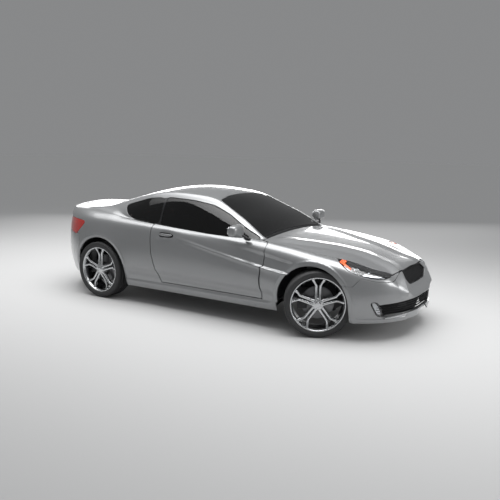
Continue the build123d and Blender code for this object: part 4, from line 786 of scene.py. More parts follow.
# %% The finishes of this car
PAINT = paint_material()
TINT = glazed("tinted_glass", (0.055, 0.058, 0.062))
LENS = glazed("clear_lens", (0.95, 0.96, 0.97))
RUBBER = grained("tyre_rubber", (0.030, 0.030, 0.031), 0.72, 500.0, 0.0006)
ALLOY = brushed("wheel_alloy", (0.62, 0.63, 0.64), 0.26, (1, 1, 1), 300.0)
STEEL = brushed("turned_steel", (0.42, 0.42, 0.43), 0.34, (1, 6, 1), 180.0)
DISC = brushed("brake_disc_steel", (0.20, 0.20, 0.205), 0.40, (1, 6, 1), 150.0)
IRON = grained("cast_iron", (0.16, 0.16, 0.165), 0.55, 260.0, 0.0008, metallic=0.7)
BLACK = grained("black_moulding", (0.012, 0.012, 0.013), 0.55, 700.0)
BLACK.node_tree.nodes["Principled BSDF"].inputs["Specular IOR Level"].default_value = 0.2
GLOSS_BLACK = grained("lamp_housing", (0.012, 0.012, 0.013), 0.12, 60.0, 0.0001)
TRIM = grained("grained_trim", (0.045, 0.045, 0.048), 0.6, 900.0, 0.0005)
UNDER = grained("underbody_paint", (0.030, 0.030, 0.032), 0.7, 90.0, 0.0012)
FABRIC = woven("seat_fabric", (0.055, 0.055, 0.060))
CHROME = brushed("lamp_reflector", (0.85, 0.86, 0.88), 0.08, (1, 1, 1), 20.0)
AMBER = ribbed("amber_lens", (0.95, 0.11, 0.004), 60.0, roughness=0.25, coat_weight=0.3)
RED = ribbed("red_lens", (0.42, 0.016, 0.010), 60.0, roughness=0.16, coat_weight=0.6)
WHITE = ribbed("white_reflector", (0.85, 0.86, 0.88), 45.0, roughness=0.15, metallic=0.3)

# %% Which finish each of the frame's slots gets
SLOTS = {"paint": PAINT, "glass": TINT, "lamp": LENS, "lamp_red": RED, "black_plastic": BLACK,
         "trim": TRIM, "fabric": FABRIC, "underbody": UNDER, "cast_iron": IRON, "steel": STEEL,
         "alloy": ALLOY, "tyre": RUBBER}
print("finishes:", ", ".join(m.name for m in bpy.data.materials))

# %% [markdown]
# ## Body panels
# Each panel is a region of the skin: what it covers, less its neighbours and the gaps between them. They
# could be cut from one mesh by hand, but then a moved shut line would have to be moved twice. Here most
# neighbours read the same outline, so the gap between them stays even all the way.
# %% Sizes that the panels share
BODY = "body"
SEAM = 0.001
SKIN_TRIM = 0.0006
HINGE_CLEARANCE = 0.007
BONNET_THICK = 0.030
WING_TURN_IN = 0.022
BUMPER_TURN_IN = 0.012
LID_THICK = 0.014
SKIN_THICK = 0.020
DOOR_THICK = 0.03
JAMB_DEPTH = 0.085
SILL_DEPTH = 0.16
PILLAR_GAP = 0.004
DECK_HALF = 0.515
DECK_LOW = 0.9
ONE_SIDE = 0.3
SILL_REAR, SILL_FRONT = -0.985, 1.085
PANE = dict(thick=0.005, bead=0.001, lift=-0.003, inner=True)
lamp_gap, no_bonnet = over(in_lamp - SEAM), over(in_bonnet - GAP)

# %% [markdown]
# ## The front
# The bonnet opens, so it gets an inner skin and rides on its own lid. Wings and nose are fixed sheets
# with only a turned-in edge, because nobody sees their backs. The wing also leaves room for the door's
# hinge.
# %% The bonnet, the wings and the nose
place(panel("bonnet_panel", in_bonnet, BONNET_THICK, inner=True), "bonnet_lid", "paint", PAINT,
      replaces=["bonnet"])
wing = both(0.880 - X, 0.290 - Z, no_bonnet, lamp_gap, over(in_bumper - 0.002), over(in_front_arch))
wing = both(wing, over(both(X - 0.93, hinge - HINGE_CLEARANCE)))
place(panel("wing_panels", wing, WING_TURN_IN), BODY, "paint", PAINT, replaces=["front_wings"])
nose = both(in_bumper, no_bonnet, over(in_front_arch), lamp_gap, over(in_fog - SEAM),
            over(in_upper_grille), over(in_lower_grille))
place(panel("nose_panel", nose, BUMPER_TURN_IN), BODY, "paint", PAINT, replaces=["front_bumper"])

# %% [markdown]
# ## The tail
# The boot lid wraps from the deck down over the back edge, so one region takes both faces. The tail panel
# is all that lies below it and beside the lamps.
# %% The boot lid and the tail
place(panel("boot_panel", in_boot, LID_THICK, inner=True), "boot_lid_panel", "paint", PAINT,
      replaces=["boot_lid"])
beside_lid = both(X + 2.05, Z - 0.90, over(in_boot - GAP), over(in_tail_lamp - SEAM))
tail = both(X + 1.690, over(in_rear_arch), either(Z - 0.745, beside_lid))
place(panel("tail_panel", tail, BUMPER_TURN_IN), BODY, "paint", PAINT, replaces=["rear_bumper"])

# %% [markdown]
# ## Caps
# The skin ends in a small open ring at the tail and behind the lower opening. A fan of triangles would
# shade as a star, so rings are drawn towards the middle instead. They only cover part of each end: low in
# the middle of the tail, holes still show from behind, and a mend would have to start from there.
# %% Caps over part of both ends
CAP_RINGS = 12
for name, ring, inset, slot, finish in (
        ("tail_cap", SURFACE[X[:, 0].argmin()], 0.0, "paint", PAINT),
        ("intake_cap", SURFACE[X[:, 0].argmax()], 0.052, "black_plastic", BLACK)):
    ring = np.concatenate([ring, ring[:1]]) - [inset, 0, 0]
    middle = np.array([ring[0, 0], 0, (ring[:, 2].min() + ring[:, 2].max()) / 2])
    size = np.linspace(1 + 2 * inset, 0.002, CAP_RINGS)
    cap = middle + (ring - middle) * size[:, None, None]
    place(new_object(name, cap.reshape(-1, 3), grid_faces(CAP_RINGS, len(ring))), BODY, slot, finish)

# %% [markdown]
# ## Deck, roof and pillars
# The roof is one sheet between the screens. The pillar behind the door is hidden by a glossy trim on the
# real car, so that the side glass seems to run through, and here it's a thin piece of its own.
# %% The deck, the roof and the pillar trims
deck = both(-1.600 - X, X + 1.15, AY - DECK_HALF, DECK_LOW - Z, over(in_rear_glass))
place(panel("deck_panel", deck), BODY, "paint", PAINT)
place(panel("roof_skin", in_roof, SKIN_THICK, 0.0012, inner=True), BODY, "paint", PAINT,
      replaces=["roof_panel"])
place(panel("pillar_trims", in_pillar - SKIN_TRIM, SKIN_THICK, 0.0012), BODY, "black_plastic", GLOSS_BLACK)

# %% [markdown]
# ## The side frame
# One large pressing runs round the door opening: pillars, rear quarter and sill. It's the union of three
# regions, each with its neighbours taken away, less the strip that the opening boot lid sweeps.
# %% The regions of the side frame
upper = both(over(in_pillar), HOUSE_REAR - X, X - 0.935, above_belt,
             over(both(in_door_glass - PILLAR_GAP, on_side)), over(both(in_quarter_glass - SEAM, on_side)),
             over(in_windscreen - SEAM), over(in_rear_glass - SEAM), over(in_roof - SEAM), no_bonnet)
on_deck = both(AY - DECK_HALF, DECK_LOW - Z)
on_deck_behind = both(X + 1.6, AY - DECK_HALF, DECK_LOW - Z)
quarter = both(-2.26 - X, X + 0.40, either(0.7465 - Z, -1.6885 - X), 0.180 - Z,
               over(either(in_boot - GAP, on_deck_behind)), over(in_tail_lamp - SEAM),
               over(in_door - HINGE_CLEARANCE), over(in_rear_arch), either(-above_belt, X + 1.15),
               over(in_rear_glass - SEAM), over(in_roof - SEAM), over(on_deck),
               over(both(in_quarter_glass - SEAM, on_side)))
sill = both(SILL_REAR - X, X - SILL_FRONT, 0.197 - Z, Z - 0.298, over(in_front_arch), over(in_rear_arch))
swept_by_lid = both(X + 1.616, -1.70 - X, AY - 0.583, 0.90 - Z)
print("points in the upper frame, quarter and sill:", [int((f < 0).sum()) for f in (upper, quarter, sill)])

# %% The side frame, the door jambs and the sill boxes
frame_field = both(either(upper, quarter, sill), over(swept_by_lid))
place(panel("frame_skin", frame_field, SKIN_THICK, 0.0018, inner=True), BODY, "paint", PAINT,
      replaces=["side_frames"])
jamb = both(frame_field + 0.002, in_door - 0.045, X + 0.62 - 2 * (X > 0.2), on_side)
place(panel("door_jambs", jamb, JAMB_DEPTH, 0.003, -0.012), BODY, "paint", PAINT)
boards = both(sill + 0.004, 0.22 - Z)
place(panel("sill_boxes", boards, SILL_DEPTH, 0.004, -0.014), BODY, "underbody", UNDER)

# %% [markdown]
# ## Doors
# A door is two skins joined round the edge, with a flat inner face. The outer one is a region of the
# skin. The inner one moves the same points to one plane, so the two close without any stitching. The pane
# above rides on the same body, a little inside the frame.
# %% A door's flat inner face
DOOR_INNER_Y = 0.770


def inside_door(p, n):
    """The door's inner skin: each point moved in by the thickness, and then to one y on its own side."""
    q = p - n * DOOR_THICK
    q[:, 1] = np.sign(p[:, 1]) * DOOR_INNER_Y
    return q


# %% Both doors and their panes
for name, side in (("right", right), ("left", left)):
    door = both(in_door, side + ONE_SIDE, -above_belt - 0.002)
    body = f"door_assembly_{name}"
    place(panel(f"door_skin_{name}", door, DOOR_THICK, inner=True, to_inside=inside_door), body,
          "paint", PAINT, replaces=[f"door_{name}"])
    pane = both(in_door_glass, side + ONE_SIDE, above_belt - PILLAR_GAP)
    place(panel(f"door_pane_{name}", pane, **PANE), body, "glass", TINT,
          replaces=[f"door_glass_{name}"])

# %% [markdown]
# ## Fixed glass and tail lamps
# Windscreen, rear screen and quarter panes are sheets five millimetres thick, set three millimetres below
# the skin, as glued glass is. The tail lamps are cut from the same skin, so they follow the quarter.
# %% The fixed glass and the tail lamps
place(panel("windscreen_pane", both(in_windscreen, X - 0.811), **PANE), BODY, "glass", TINT,
      replaces=["windscreen"])
rear = either(in_rear_glass, both(in_quarter_glass, on_side, above_belt))
place(panel("rear_panes", rear, **PANE), BODY, "glass", TINT, replaces=["rear_windows"])
lamp_on_body = both(in_tail_lamp, over(in_boot - GAP))
place(panel("tail_lenses", lamp_on_body, SKIN_THICK, inner=True), BODY, "lamp_red", RED,
      replaces=["tail_lamps"])

# %% [markdown]
# ## Lamps
# A headlamp is a clear cover over a dark housing, with round projectors behind it. One glossy shape with
# a picture of a lamp on it would look flat from the side. Here the cover, the housing, the amber wedge,
# the pale edge and the reflector strip are regions of the same skin at different depths, so light really
# passes through one and falls on the next. The projectors are turned forms.
# %% Turned forms and places on the skin
def dish(centre, ahead, profile, around=48):
    """A turned form about a line: profile points are (distance ahead, radius)."""
    ahead = unit(np.array(ahead, float))
    across = unit(np.cross(ahead, [0, 0, 1]))
    up = np.cross(across, ahead)
    a, r = np.array(profile, float).T
    t = np.linspace(0, 2 * np.pi, around, endpoint=False)
    p = np.array(centre) + a[:, None, None] * ahead + r[:, None, None] * (
        np.cos(t)[:, None] * across + np.sin(t)[:, None] * up)
    return p.reshape(-1, 3), grid_faces(len(a), around, wrap_columns=True)


def surface_at(x, y, z):
    """The nearest place of the body's surface and its normal."""
    i = np.unravel_index(((SURFACE - [x, y, z]) ** 2).sum(-1).argmin(), X.shape)
    return SURFACE[i], NORMALS[i]

# %% The lamp's amber wedge and pale edge, as outlines
AMBER_WEDGE = mm([(1590, 800), (1690, 850), (1722, 800), (1738, 762), (1835, 712), (1838, 682), (1740, 738)])
PALE_EDGE = mm([(1590, 778), (1700, 758), (1740, 747), (1836, 695), (1890, 664), (1890, 640), (1740, 725)])
STRIP = mm([(1930, 655), (2100, 622), (2120, 630), (1960, 668)])
COVER_THICK = 0.003
wedge = outline_distance(AMBER_WEDGE, X, Z)
lens = either(both(in_lamp, over(in_bonnet - GAP), over(wedge)), in_fog)
deep = both(in_lamp + COVER_THICK, over(in_bonnet - GAP - COVER_THICK))
amber = both(wedge + SEAM, in_lamp, over(in_bonnet - GAP))
white = both(deep, X - 1.89, outline_distance(PALE_EDGE, X, Z), in_lamp + SEAM)
print("points in the amber and the pale part:", int((amber < 0).sum()), int((white < 0).sum()))

# %% The clear covers, the housing and what lies in it
place(panel("lamp_lenses", lens, COVER_THICK, 0.001, inner=True), BODY, "lamp", LENS,
      replaces=["front_lamps"])
place(panel("lamp_housing", both(deep, over(amber), over(white)), 0.004, 0.001, -0.022), BODY, "lamp",
      GLOSS_BLACK)
place(panel("lamp_amber", both(amber, over(white)), 0.012, 0.001), BODY, "lamp", AMBER)
place(panel("lamp_white_edge", white, 0.012, 0.001, -0.001), BODY, "lamp", WHITE)
strip = both(deep, outline_distance(STRIP, X, Z))
place(panel("lamp_strip", strip, 0.006, 0.002, -0.012), BODY, "lamp", CHROME)

# %% The fog lamps
place(panel("fog_surrounds", in_fog + SEAM, 0.006, 0.001, -0.026), BODY, "lamp", GLOSS_BLACK)
place(panel("fog_reflectors", in_fog + 0.010, 0.012, 0.003, -0.012), BODY, "lamp", WHITE)

# %% [markdown]
# ## Projectors
# Behind each cover sit two round projectors, a larger and a smaller one. Each is a bright ring round a
# dark domed lens, turned from a short profile and aimed halfway between straight ahead and the skin's
# normal.
# %% Rings and bull's-eyes of the projectors
# columns: x, y, z, radius
PROJECTORS = ((1.885, 0.735, 0.700, 0.030), (1.985, 0.640, 0.672, 0.024))
PROJECTOR_DEPTH = 0.030
RING = np.array([(-0.012, 1.12), (0.003, 1.16), (0.007, 1.08), (0.004, 1), (-0.004, 0.96)])
DOME = np.array([(-0.004, 0.97), (0.004, 0.85), (0.010, 0.6), (0.013, 0.3), (0.014, 0.02)])


def sized(profile, size):
    """The profile with each radius times a size, and its distances ahead as they are."""
    return [(ahead, size * share) for ahead, share in profile]


rings, domes = [], []
for side in (-1, 1):
    for x, y, z, size in PROJECTORS:
        p, n = surface_at(x, side * y, z)
        way = unit(n + [0.9, 0, 0])
        centre = p - n * PROJECTOR_DEPTH
        rings.append(dish(centre, way, sized(RING, size)))
        domes.append(dish(centre, way, sized(DOME, size)))
p, f = joined(rings)
place(new_object("lamp_rings", p, np.concatenate(f)), BODY, "lamp", CHROME)
p, f = joined(domes)
place(new_object("lamp_bulls_eyes", p, np.concatenate(f)), BODY, "lamp", GLOSS_BLACK)

# %% [markdown]
# ## Wheels
# A wheel is built about the Y axis with its outboard side towards -Y, as a right wheel, and then placed.
# Tyre, rim and brake disc are mostly turned: a profile of radius and y, carried round the axle. Blender's
# Screw modifier could do it, but grooves and spokes need the points themselves.
# %% Turned forms and eased lines
def turned(profile, around):
    """A surface of revolution about the Y axis from a profile of (radius, y) points, as points and quads."""
    r, y = np.asarray(profile, float).T
    t = np.linspace(0, 2 * np.pi, around, endpoint=False)
    p = np.stack([r[:, None] * np.cos(t), np.broadcast_to(y[:, None], (len(r), around)),
                  r[:, None] * np.sin(t)], -1)
    return p.reshape(-1, 3), grid_faces(len(r), around, wrap_columns=True)


def eased(points):
    """An open line with a quarter of each side cut off at its corners, keeping its two ends."""
    points = np.asarray(points, float)
    a, b = points[:-1], points[1:]
    cut = np.stack([a * 0.75 + b * 0.25, a * 0.25 + b * 0.75], 1).reshape(-1, points.shape[1])
    return np.concatenate([points[:1], cut[1:-1], points[-1:]])

# %% [markdown]
# ## The tyre
# A tyre bulges between rim and tread, has two moulded rings on its wall, and four grooves round its
# tread. A torus has none of that. The profile below has each step, and fine slots are pressed into the
# shoulders by moving the points that fall in them.
# %% The tyre
TYRE_STEPS = 180
GROOVES = (0.062, 0.020)
SLOTS_ROUND = 36


def tyre_shape(radius, width):
    """A tyre: bulged side walls with two raised rings, round shoulders and a tread with four grooves."""
    half = width / 2
    wall = [(0.258, half - 0.020), (0.268, half - 0.016), (0.274, half - 0.008), (0.284, half - 0.003),
            (0.292, half - 0.0006), (0.294, half + 0.0004), (0.299, half - 0.0006), (0.306, half - 0.0002),
            (radius - 0.022, half - 0.003), (radius - 0.020, half - 0.0015), (radius - 0.014, half - 0.006),
            (radius - 0.006, half - 0.015), (radius - 0.002, half - 0.026)]
    tread = []
    for centre in GROOVES:
        for off, drop in ((0.0065, 0), (0.0050, 0.002), (0.0040, 0.007), (-0.0040, 0.007), (-0.0050, 0.002),
                          (-0.0065, 0)):
            tread.append((radius - 0.0003 - drop - 0.03 * (centre + off) ** 2, centre + off))
    side = wall + tread
    profile = side + [(r, -y) for r, y in reversed(side)]
    points, faces = turned(profile, TYRE_STEPS)
    angle = np.arctan2(points[:, 2], points[:, 0])
    r = np.hypot(points[:, 0], points[:, 2])
    across = abs(points[:, 1])
    in_slot = np.mod(angle * SLOTS_ROUND / np.pi + across * 22, 1) < 0.14
    cut = in_slot & (across > 0.070) & (r > radius - 0.012)
    points[cut] *= np.stack([1 - 0.004 / r[cut], np.ones(cut.sum()), 1 - 0.004 / r[cut]], -1)
    return points, faces

# %% [markdown]
# ## The rim
# The rim has ten spokes in five pairs, cast in one with a barrel and a hub. Each spoke is a bevelled
# section carried from the hub to the rim, leaning away from its twin near the end. One pair could be
# copied with an Array modifier, but arrays of points are as short and leave a plain mesh.
# %% One spoke
PAIRS = 5
HUB_RADIUS = 0.045
SPOKE_REACH = 0.250
NUT_CIRCLE = 0.044


def spoke_shape(turn, way, face, reach):
    """One spoke of a pair: a bar with bevelled edges that starts at the hub, runs beside its twin, and then
    leans away from it to meet the rim. Its front dips between hub and rim."""
    s = np.linspace(0, 1, 22)[:, None]
    lean = 0.019 + 0.004 * s + 0.034 * smooth_step(s, 0.66, 1.0)
    r = HUB_RADIUS + (reach - HUB_RADIUS) * s
    wide = 0.0155 - 0.002 * np.sin(np.pi * s) + 0.003 * smooth_step(s, 0.8, 1)
    front = face + 0.010 + 0.012 * np.sin(np.pi * s) - 0.006 * smooth_step(s, 0.85, 1)
    shape = np.array([(-1, 0.034), (-1, 0.006), (-0.72, 0.0), (0.45, 0.0), (0.95, 0.008), (1, 0.034)])
    across = (lean + wide * shape[:, 0]) * way
    deep = front + shape[:, 1]
    p = np.stack([r * np.ones(len(shape)), deep, across], -1).reshape(-1, 3)
    c, sn = np.cos(turn), np.sin(turn)
    p = p @ np.array([[c, 0, sn], [0, 1, 0], [-sn, 0, c]])
    return p, grid_faces(len(s), len(shape), wrap_columns=True)

# %% Barrel, hub, nuts and spokes
def rim_shape(width):
    """The rim's barrel with its stepped lip, the hub with its cap and five nuts, and ten spokes in pairs."""
    half = width / 2
    seat = half - 0.018
    flange = seat + 0.008
    lip = eased([(0.2465, 0.06), (0.2465, -flange + 0.030), (0.250, -flange + 0.022),
                 (0.256, -flange + 0.010), (0.262, -flange + 0.0015), (0.268, -flange + 0.0005),
                 (0.2718, -flange + 0.001),
                 (0.2718, -seat - 0.0004), (0.2585, -seat - 0.0004), (0.2578, 0.0), (0.2578, seat + 0.0004),
                 (0.2715, seat + 0.0004), (0.2715, flange - 0.0005), (0.2465, flange - 0.0005),
                 (0.2465, 0.05)])
    parts = [turned(lip, 120)]
    face = -flange + 0.006
    hub = eased([(0.0005, face + 0.004), (0.026, face + 0.004), (0.029, face + 0.008), (0.034, face + 0.009),
                 (0.050, face + 0.012), (0.062, face + 0.020), (0.067, face + 0.034), (0.0675, face + 0.045)])
    parts.append(turned(hub, 80))
    for k in range(PAIRS):
        turn = 2 * np.pi * (k + 0.5) / PAIRS
        centre = np.array([np.cos(turn) * NUT_CIRCLE, face + 0.0115, np.sin(turn) * NUT_CIRCLE])
        nut, faces = turned([(0.0002, -0.003), (0.006, -0.003), (0.0075, -0.001), (0.0078, 0.006)], 6)
        parts.append((nut + centre, faces))
        for way in (-1, 1):
            parts.append(spoke_shape(2 * np.pi * k / PAIRS + np.pi / 2, way, face, SPOKE_REACH))
    return joined(parts)

# %% [markdown]
# ## The brake disc
# The disc is two rings of iron with a gap between them for air, on a hat that bolts to the hub. All of it
# is turned, so one profile gives it.
# %% The brake disc
def disc_shape(width):
    """A vented brake disc with its hat: one profile of (radius, y), turned about the axle."""
    face = -(width / 2 - 0.010) + 0.006 + 0.0455
    profile = [(0.021, face), (0.078, face), (0.080, face + 0.003), (0.080, 0.004), (0.084, 0.0055),
               (0.162, 0.0055), (0.1645, 0.007), (0.1645, 0.0135), (0.158, 0.014), (0.158, 0.022),
               (0.1645, 0.0225), (0.1645, 0.029), (0.162, 0.0305), (0.021, 0.0305)]
    return turned(profile, 120)

# %% [markdown]
# ## Wheels in place
# The front wheels stand turned about their kingpins, as the car was parked. Each wheel is moved in its
# own points and not by its object, because the export wants every object at the origin.
# %% Where the four wheels stand
# columns: name, axle x, radius, width, track, side
FRONT_TYRE, REAR_TYRE = (0.334, 0.225, 1.595), (0.339, 0.245, 1.615)
WHEELS = [("front_right", FRONT_AXLE[0], *FRONT_TYRE, -1), ("front_left", FRONT_AXLE[0], *FRONT_TYRE, 1),
          ("rear_right", REAR_AXLE[0], *REAR_TYRE, -1), ("rear_left", REAR_AXLE[0], *REAR_TYRE, 1)]
KINGPIN_Y = 0.735
STEER_REST = np.radians(28)
print("wheels:", ", ".join(w[0] for w in WHEELS))

# %% A wheel's points in their place
def placed(points, x, radius, track, side):
    """A right wheel's points in their place: mirrored for the left side, and the front ones steered."""
    p = points * [1, -side, 1] + [x, side * track / 2, radius]
    if x > 0:
        pin = np.array([x, side * KINGPIN_Y, 0])
        c, s = np.cos(STEER_REST), np.sin(STEER_REST)
        p = (p - pin) @ np.array([[c, s, 0], [-s, c, 0], [0, 0, 1]]) + pin
    return p

# %% Four tyres, rims and brake discs
WHEEL_SLOTS = {"tyre": "tyre", "rim": "alloy", "brake_disc": "steel"}


def make_wheels():
    """Each wheel's three forms, placed, with the faces turned round on the mirrored left side."""
    for name, x, radius, width, track, side in WHEELS:
        for kind, (points, faces), paint in (("tyre", tyre_shape(radius, width), RUBBER),
                                             ("rim", rim_shape(width), ALLOY),
                                             ("brake_disc", disc_shape(width), DISC)):
            p = placed(points, x, radius, track, side)
            faces = faces if isinstance(faces, list) else [faces]
            whole = np.concatenate(faces)
            whole = whole[:, ::-1] if side == 1 else whole
            place(new_object(f"{kind}_shape_{name}", p, whole), f"wheel_{name}", WHEEL_SLOTS[kind], paint,
                  replaces=[f"{kind}_{name}"])


make_wheels()

# %% [markdown]
# ## Rounded forms and bars
# A mirror shell, a seat pad and a pull handle have soft corners all round. A cube with a Bevel modifier
# has flat faces between its rounds, which show at once in a reflection. A superellipse, in which two
# powers add up to one, is curved everywhere. Bars are the same section carried along a line.
# %% A closed rounded form
def crowned(centre, half, power, around=64, along=33, shape=None):
    """A closed rounded form: |across|^p + |up|^p = 1 in each section, rolled in at both ends along y."""
    b = np.linspace(-np.pi / 2, np.pi / 2, along)[1:-1]
    t = np.sign(b) * abs(np.sin(b)) ** (2 / power[1])
    k = np.cos(b) ** (2 / power[1])
    a = np.linspace(0, 2 * np.pi, around, endpoint=False)
    c, d = np.cos(a), np.sin(a)
    u = np.sign(c) * abs(c) ** (2 / power[0])
    v = np.sign(d) * abs(d) ** (2 / power[0])
    p = np.stack([k[:, None] * u, t[:, None] + 0 * u, k[:, None] * v], -1).reshape(-1, 3)
    p = np.concatenate([p, [[0, -1, 0], [0, 1, 0]]])
    if shape is not None:
        p = shape(p)
    here, after = np.arange(around), (np.arange(around) + 1) % around
    last = (along - 3) * around
    first_pole = np.stack([here * 0 + len(p) - 2, after, here], -1)
    last_pole = np.stack([here * 0 + len(p) - 1, last + here, last + after], -1)
    sides = grid_faces(along - 2, around, wrap_columns=True)
    return p * half + np.array(centre), [sides, first_pole, last_pole]

# %% A bar along a line
def swept(line, size, around=20, power=2.5):
    """A bar along a line of points; size gives half its width and height at each point.
    Each section is |across|^p + |up|^p = 1 square to the line, and both ends are drawn in to almost
    nothing."""
    line, size = np.array(line, float), np.array(size, float)
    ahead = unit(np.gradient(line, axis=0))
    ahead = np.concatenate([ahead[:1], ahead, ahead[-1:]])
    line = np.concatenate([line[:1], line, line[-1:]])
    size = np.concatenate([size[:1] * 0.01, size, size[-1:] * 0.01])
    across = unit(np.cross(ahead, [0, 0, 1]))
    up = np.cross(across, ahead)
    a = np.linspace(0, 2 * np.pi, around, endpoint=False)
    u = np.sign(np.cos(a)) * abs(np.cos(a)) ** (2 / power)
    v = np.sign(np.sin(a)) * abs(np.sin(a)) ** (2 / power)
    sideways = size[:, :1, None] * u[:, None] * across[:, None]
    upwards = size[:, 1:2, None] * v[:, None] * up[:, None]
    p = line[:, None] + sideways + upwards
    return p.reshape(-1, 3), grid_faces(len(line), around, wrap_columns=True)

# %% [markdown]
# ## Mirrors
# The mirror's shell is painted, its lower half and foot are dark, and a pane of silvered glass faces
# back. The shell is a rounded form whose points are then moved, so it gets lower and thinner outwards and
# stays fuller in front, where the air meets it.
# %% The mirrors
def make_mirror(name, side):
    """A mirror's shell, base and pane as rounded forms, and its foot as a bar along a spline."""
    body = f"door_assembly_{name}"

    def shell(p):
        """Lower and thinner towards the outer end, and fuller in front than behind."""
        out = p[..., 1] * side
        q = p.copy()
        q[..., 2] = p[..., 2] * (0.98 - 0.10 * out) + 0.02 * out
        q[..., 0] = p[..., 0] * np.where(p[..., 0] > 0, 1 - 0.08 * out ** 2, 0.85) - 0.03 * out
        return q

    p, f = crowned((0.652, side * 0.974, 0.988), (0.055, 0.100, 0.064), (3.2, 4.2), shape=shell)
    place(new_object(f"mirror_shell_{name}", p, f), body, "paint", PAINT, replaces=[f"door_mirror_{name}"])
    p, f = crowned((0.655, side * 0.966, 0.968), (0.050, 0.090, 0.042), (2.7, 3.0), shape=shell)
    place(new_object(f"mirror_base_{name}", p, f), body, "black_plastic", GLOSS_BLACK)
    p, f = crowned((0.604, side * 0.972, 0.990), (0.006, 0.084, 0.047), (3.5, 3.0))
    place(new_object(f"mirror_pane_{name}", p, f), body, "glass", CHROME)
    line = [(0.668, side * 0.930, 0.948), (0.676, side * 0.905, 0.940), (0.690, side * 0.875, 0.925),
            (0.700, side * 0.850, 0.905), (0.704, side * 0.822, 0.890)]
    u = np.linspace(0, 1, 17)
    p, f = swept(spline(np.linspace(0, 1, 5), np.array(line), u),
                 np.linspace((0.026, 0.012), (0.040, 0.016), 17))
    place(new_object(f"mirror_foot_{name}", p, f), body, "black_plastic", GLOSS_BLACK)


# %% [markdown]
# ## Pull handles
# Fingers reach behind the handle into a hollow in the door. The hollow is already in the skin. On the real
# car it is body colour, and here a dark cup laid in it is painted shade for the shadow that falls there. The
# handle follows the door's own curve, standing out in the middle and meeting it at both ends.
# %% The pull handles
HANDLE_REAR_X = -0.440
HANDLE_LENGTH = 0.180
# outline of the dark cup behind the handle, which is painted shade: the real hollow is body colour
HANDLE_SHADE_OUTLINE = mm([(-452, 812), (-250, 818), (-246, 862), (-448, 874)])


def make_handle(name, side):
    """A dark cup of painted shade in the door's hollow, and a bar along it that stands out by 4 mm plus 14 mm
    x (1 - |2u - 1|^3).
    """
    body = f"door_assembly_{name}"
    # the dark cup is painted shade: a glossy black sheet over the hollow, which is body colour on the real
    # car
    painted_shade = both(outline_distance(rounded(HANDLE_SHADE_OUTLINE, 3), X, Z), ONE_SIDE + side * -Y)
    place(panel(f"handle_cup_{name}", painted_shade, 0.004, 0.001, 0.0012), body, "black_plastic", GLOSS_BLACK)
    u = np.linspace(0, 1, 41)
    along = HANDLE_REAR_X + HANDLE_LENGTH * u
    here = [surface_at(x, side * 0.95, 0.850) for x in along]
    out = 0.004 + 0.014 * (1 - abs(2 * u - 1) ** 3.0)
    line = [(x, q[1] + n[1] * o, 0.848) for x, (q, n), o in zip(along, here, out)]
    width = 0.0040 + 0.0030 * (1 - abs(2 * u - 1) ** 4)
    height = 0.005 + 0.0090 * (1 - abs(2 * u - 1) ** 3)
    p, f = swept(line, np.stack([width, height], -1))
    place(new_object(f"pull_handle_{name}", p, f), body, "paint", PAINT, replaces=[f"door_handle_{name}"])


for name, side in (("right", -1), ("left", 1)):
    make_mirror(name, side)
    make_handle(name, side)

# %% [markdown]
# ## Grilles
# The upper opening has a diamond mesh in a dark rim, and the lower one has level slats. A mesh could be a
# picture with holes, but it would vanish from the side. Each bar here is a thin sweep laid over the curve
# of the nose and kept only where it lies inside the opening's outline, with a dark sheet behind.
# %% The nose's curve as a formula
def nose_x(y, z, low, high):
    """The nose's x at each y and z: a sum of powers of both, fitted by least squares between two heights."""
    near = (X > 1.9) & (Z > low) & (Z < high) & (AY < 0.75)

    def terms(y, z):
        """The products of |y| and z that the fitted x is a sum of."""
        y = abs(y)
        return np.stack([1 + 0 * y, y ** 2, z, z * z, y ** 2 * z, y ** 4, y ** 3, z ** 3,
                         y ** 2 * z * z], -1)

    c = np.linalg.lstsq(terms(Y[near], Z[near]), X[near], rcond=None)[0]
    return terms(y, z) @ c

# %% Bars kept inside an outline
def lattice(lines, outline, low, high, inset, size):
    """Thin bars along straight lines over the nose, kept where they lie inside an outline.
    Each bar's y and z run straight, and its x is the nose's, less an inset."""
    parts = []
    for (y0, z0), (y1, z1) in lines:
        u = np.linspace(0, 1, 90)
        y, z = y0 + (y1 - y0) * u, z0 + (z1 - z0) * u
        keep = outline_distance(outline, y, z) < 0.002
        if keep.sum() < 3:
            continue
        y, z = y[keep], z[keep]
        line = np.stack([nose_x(y, z, low, high) - inset, y, z], -1)
        parts.append(swept(line, np.tile(size, (len(line), 1)), 8, 2.0))
    return joined(parts)

# %% Both openings and the lip below them
MESH_PITCH = 0.036
MESH_LEAN = 0.09
SLAT_HEIGHTS = (0.272, 0.296, 0.320, 0.344, 0.368)
LIP_HALF = 0.62


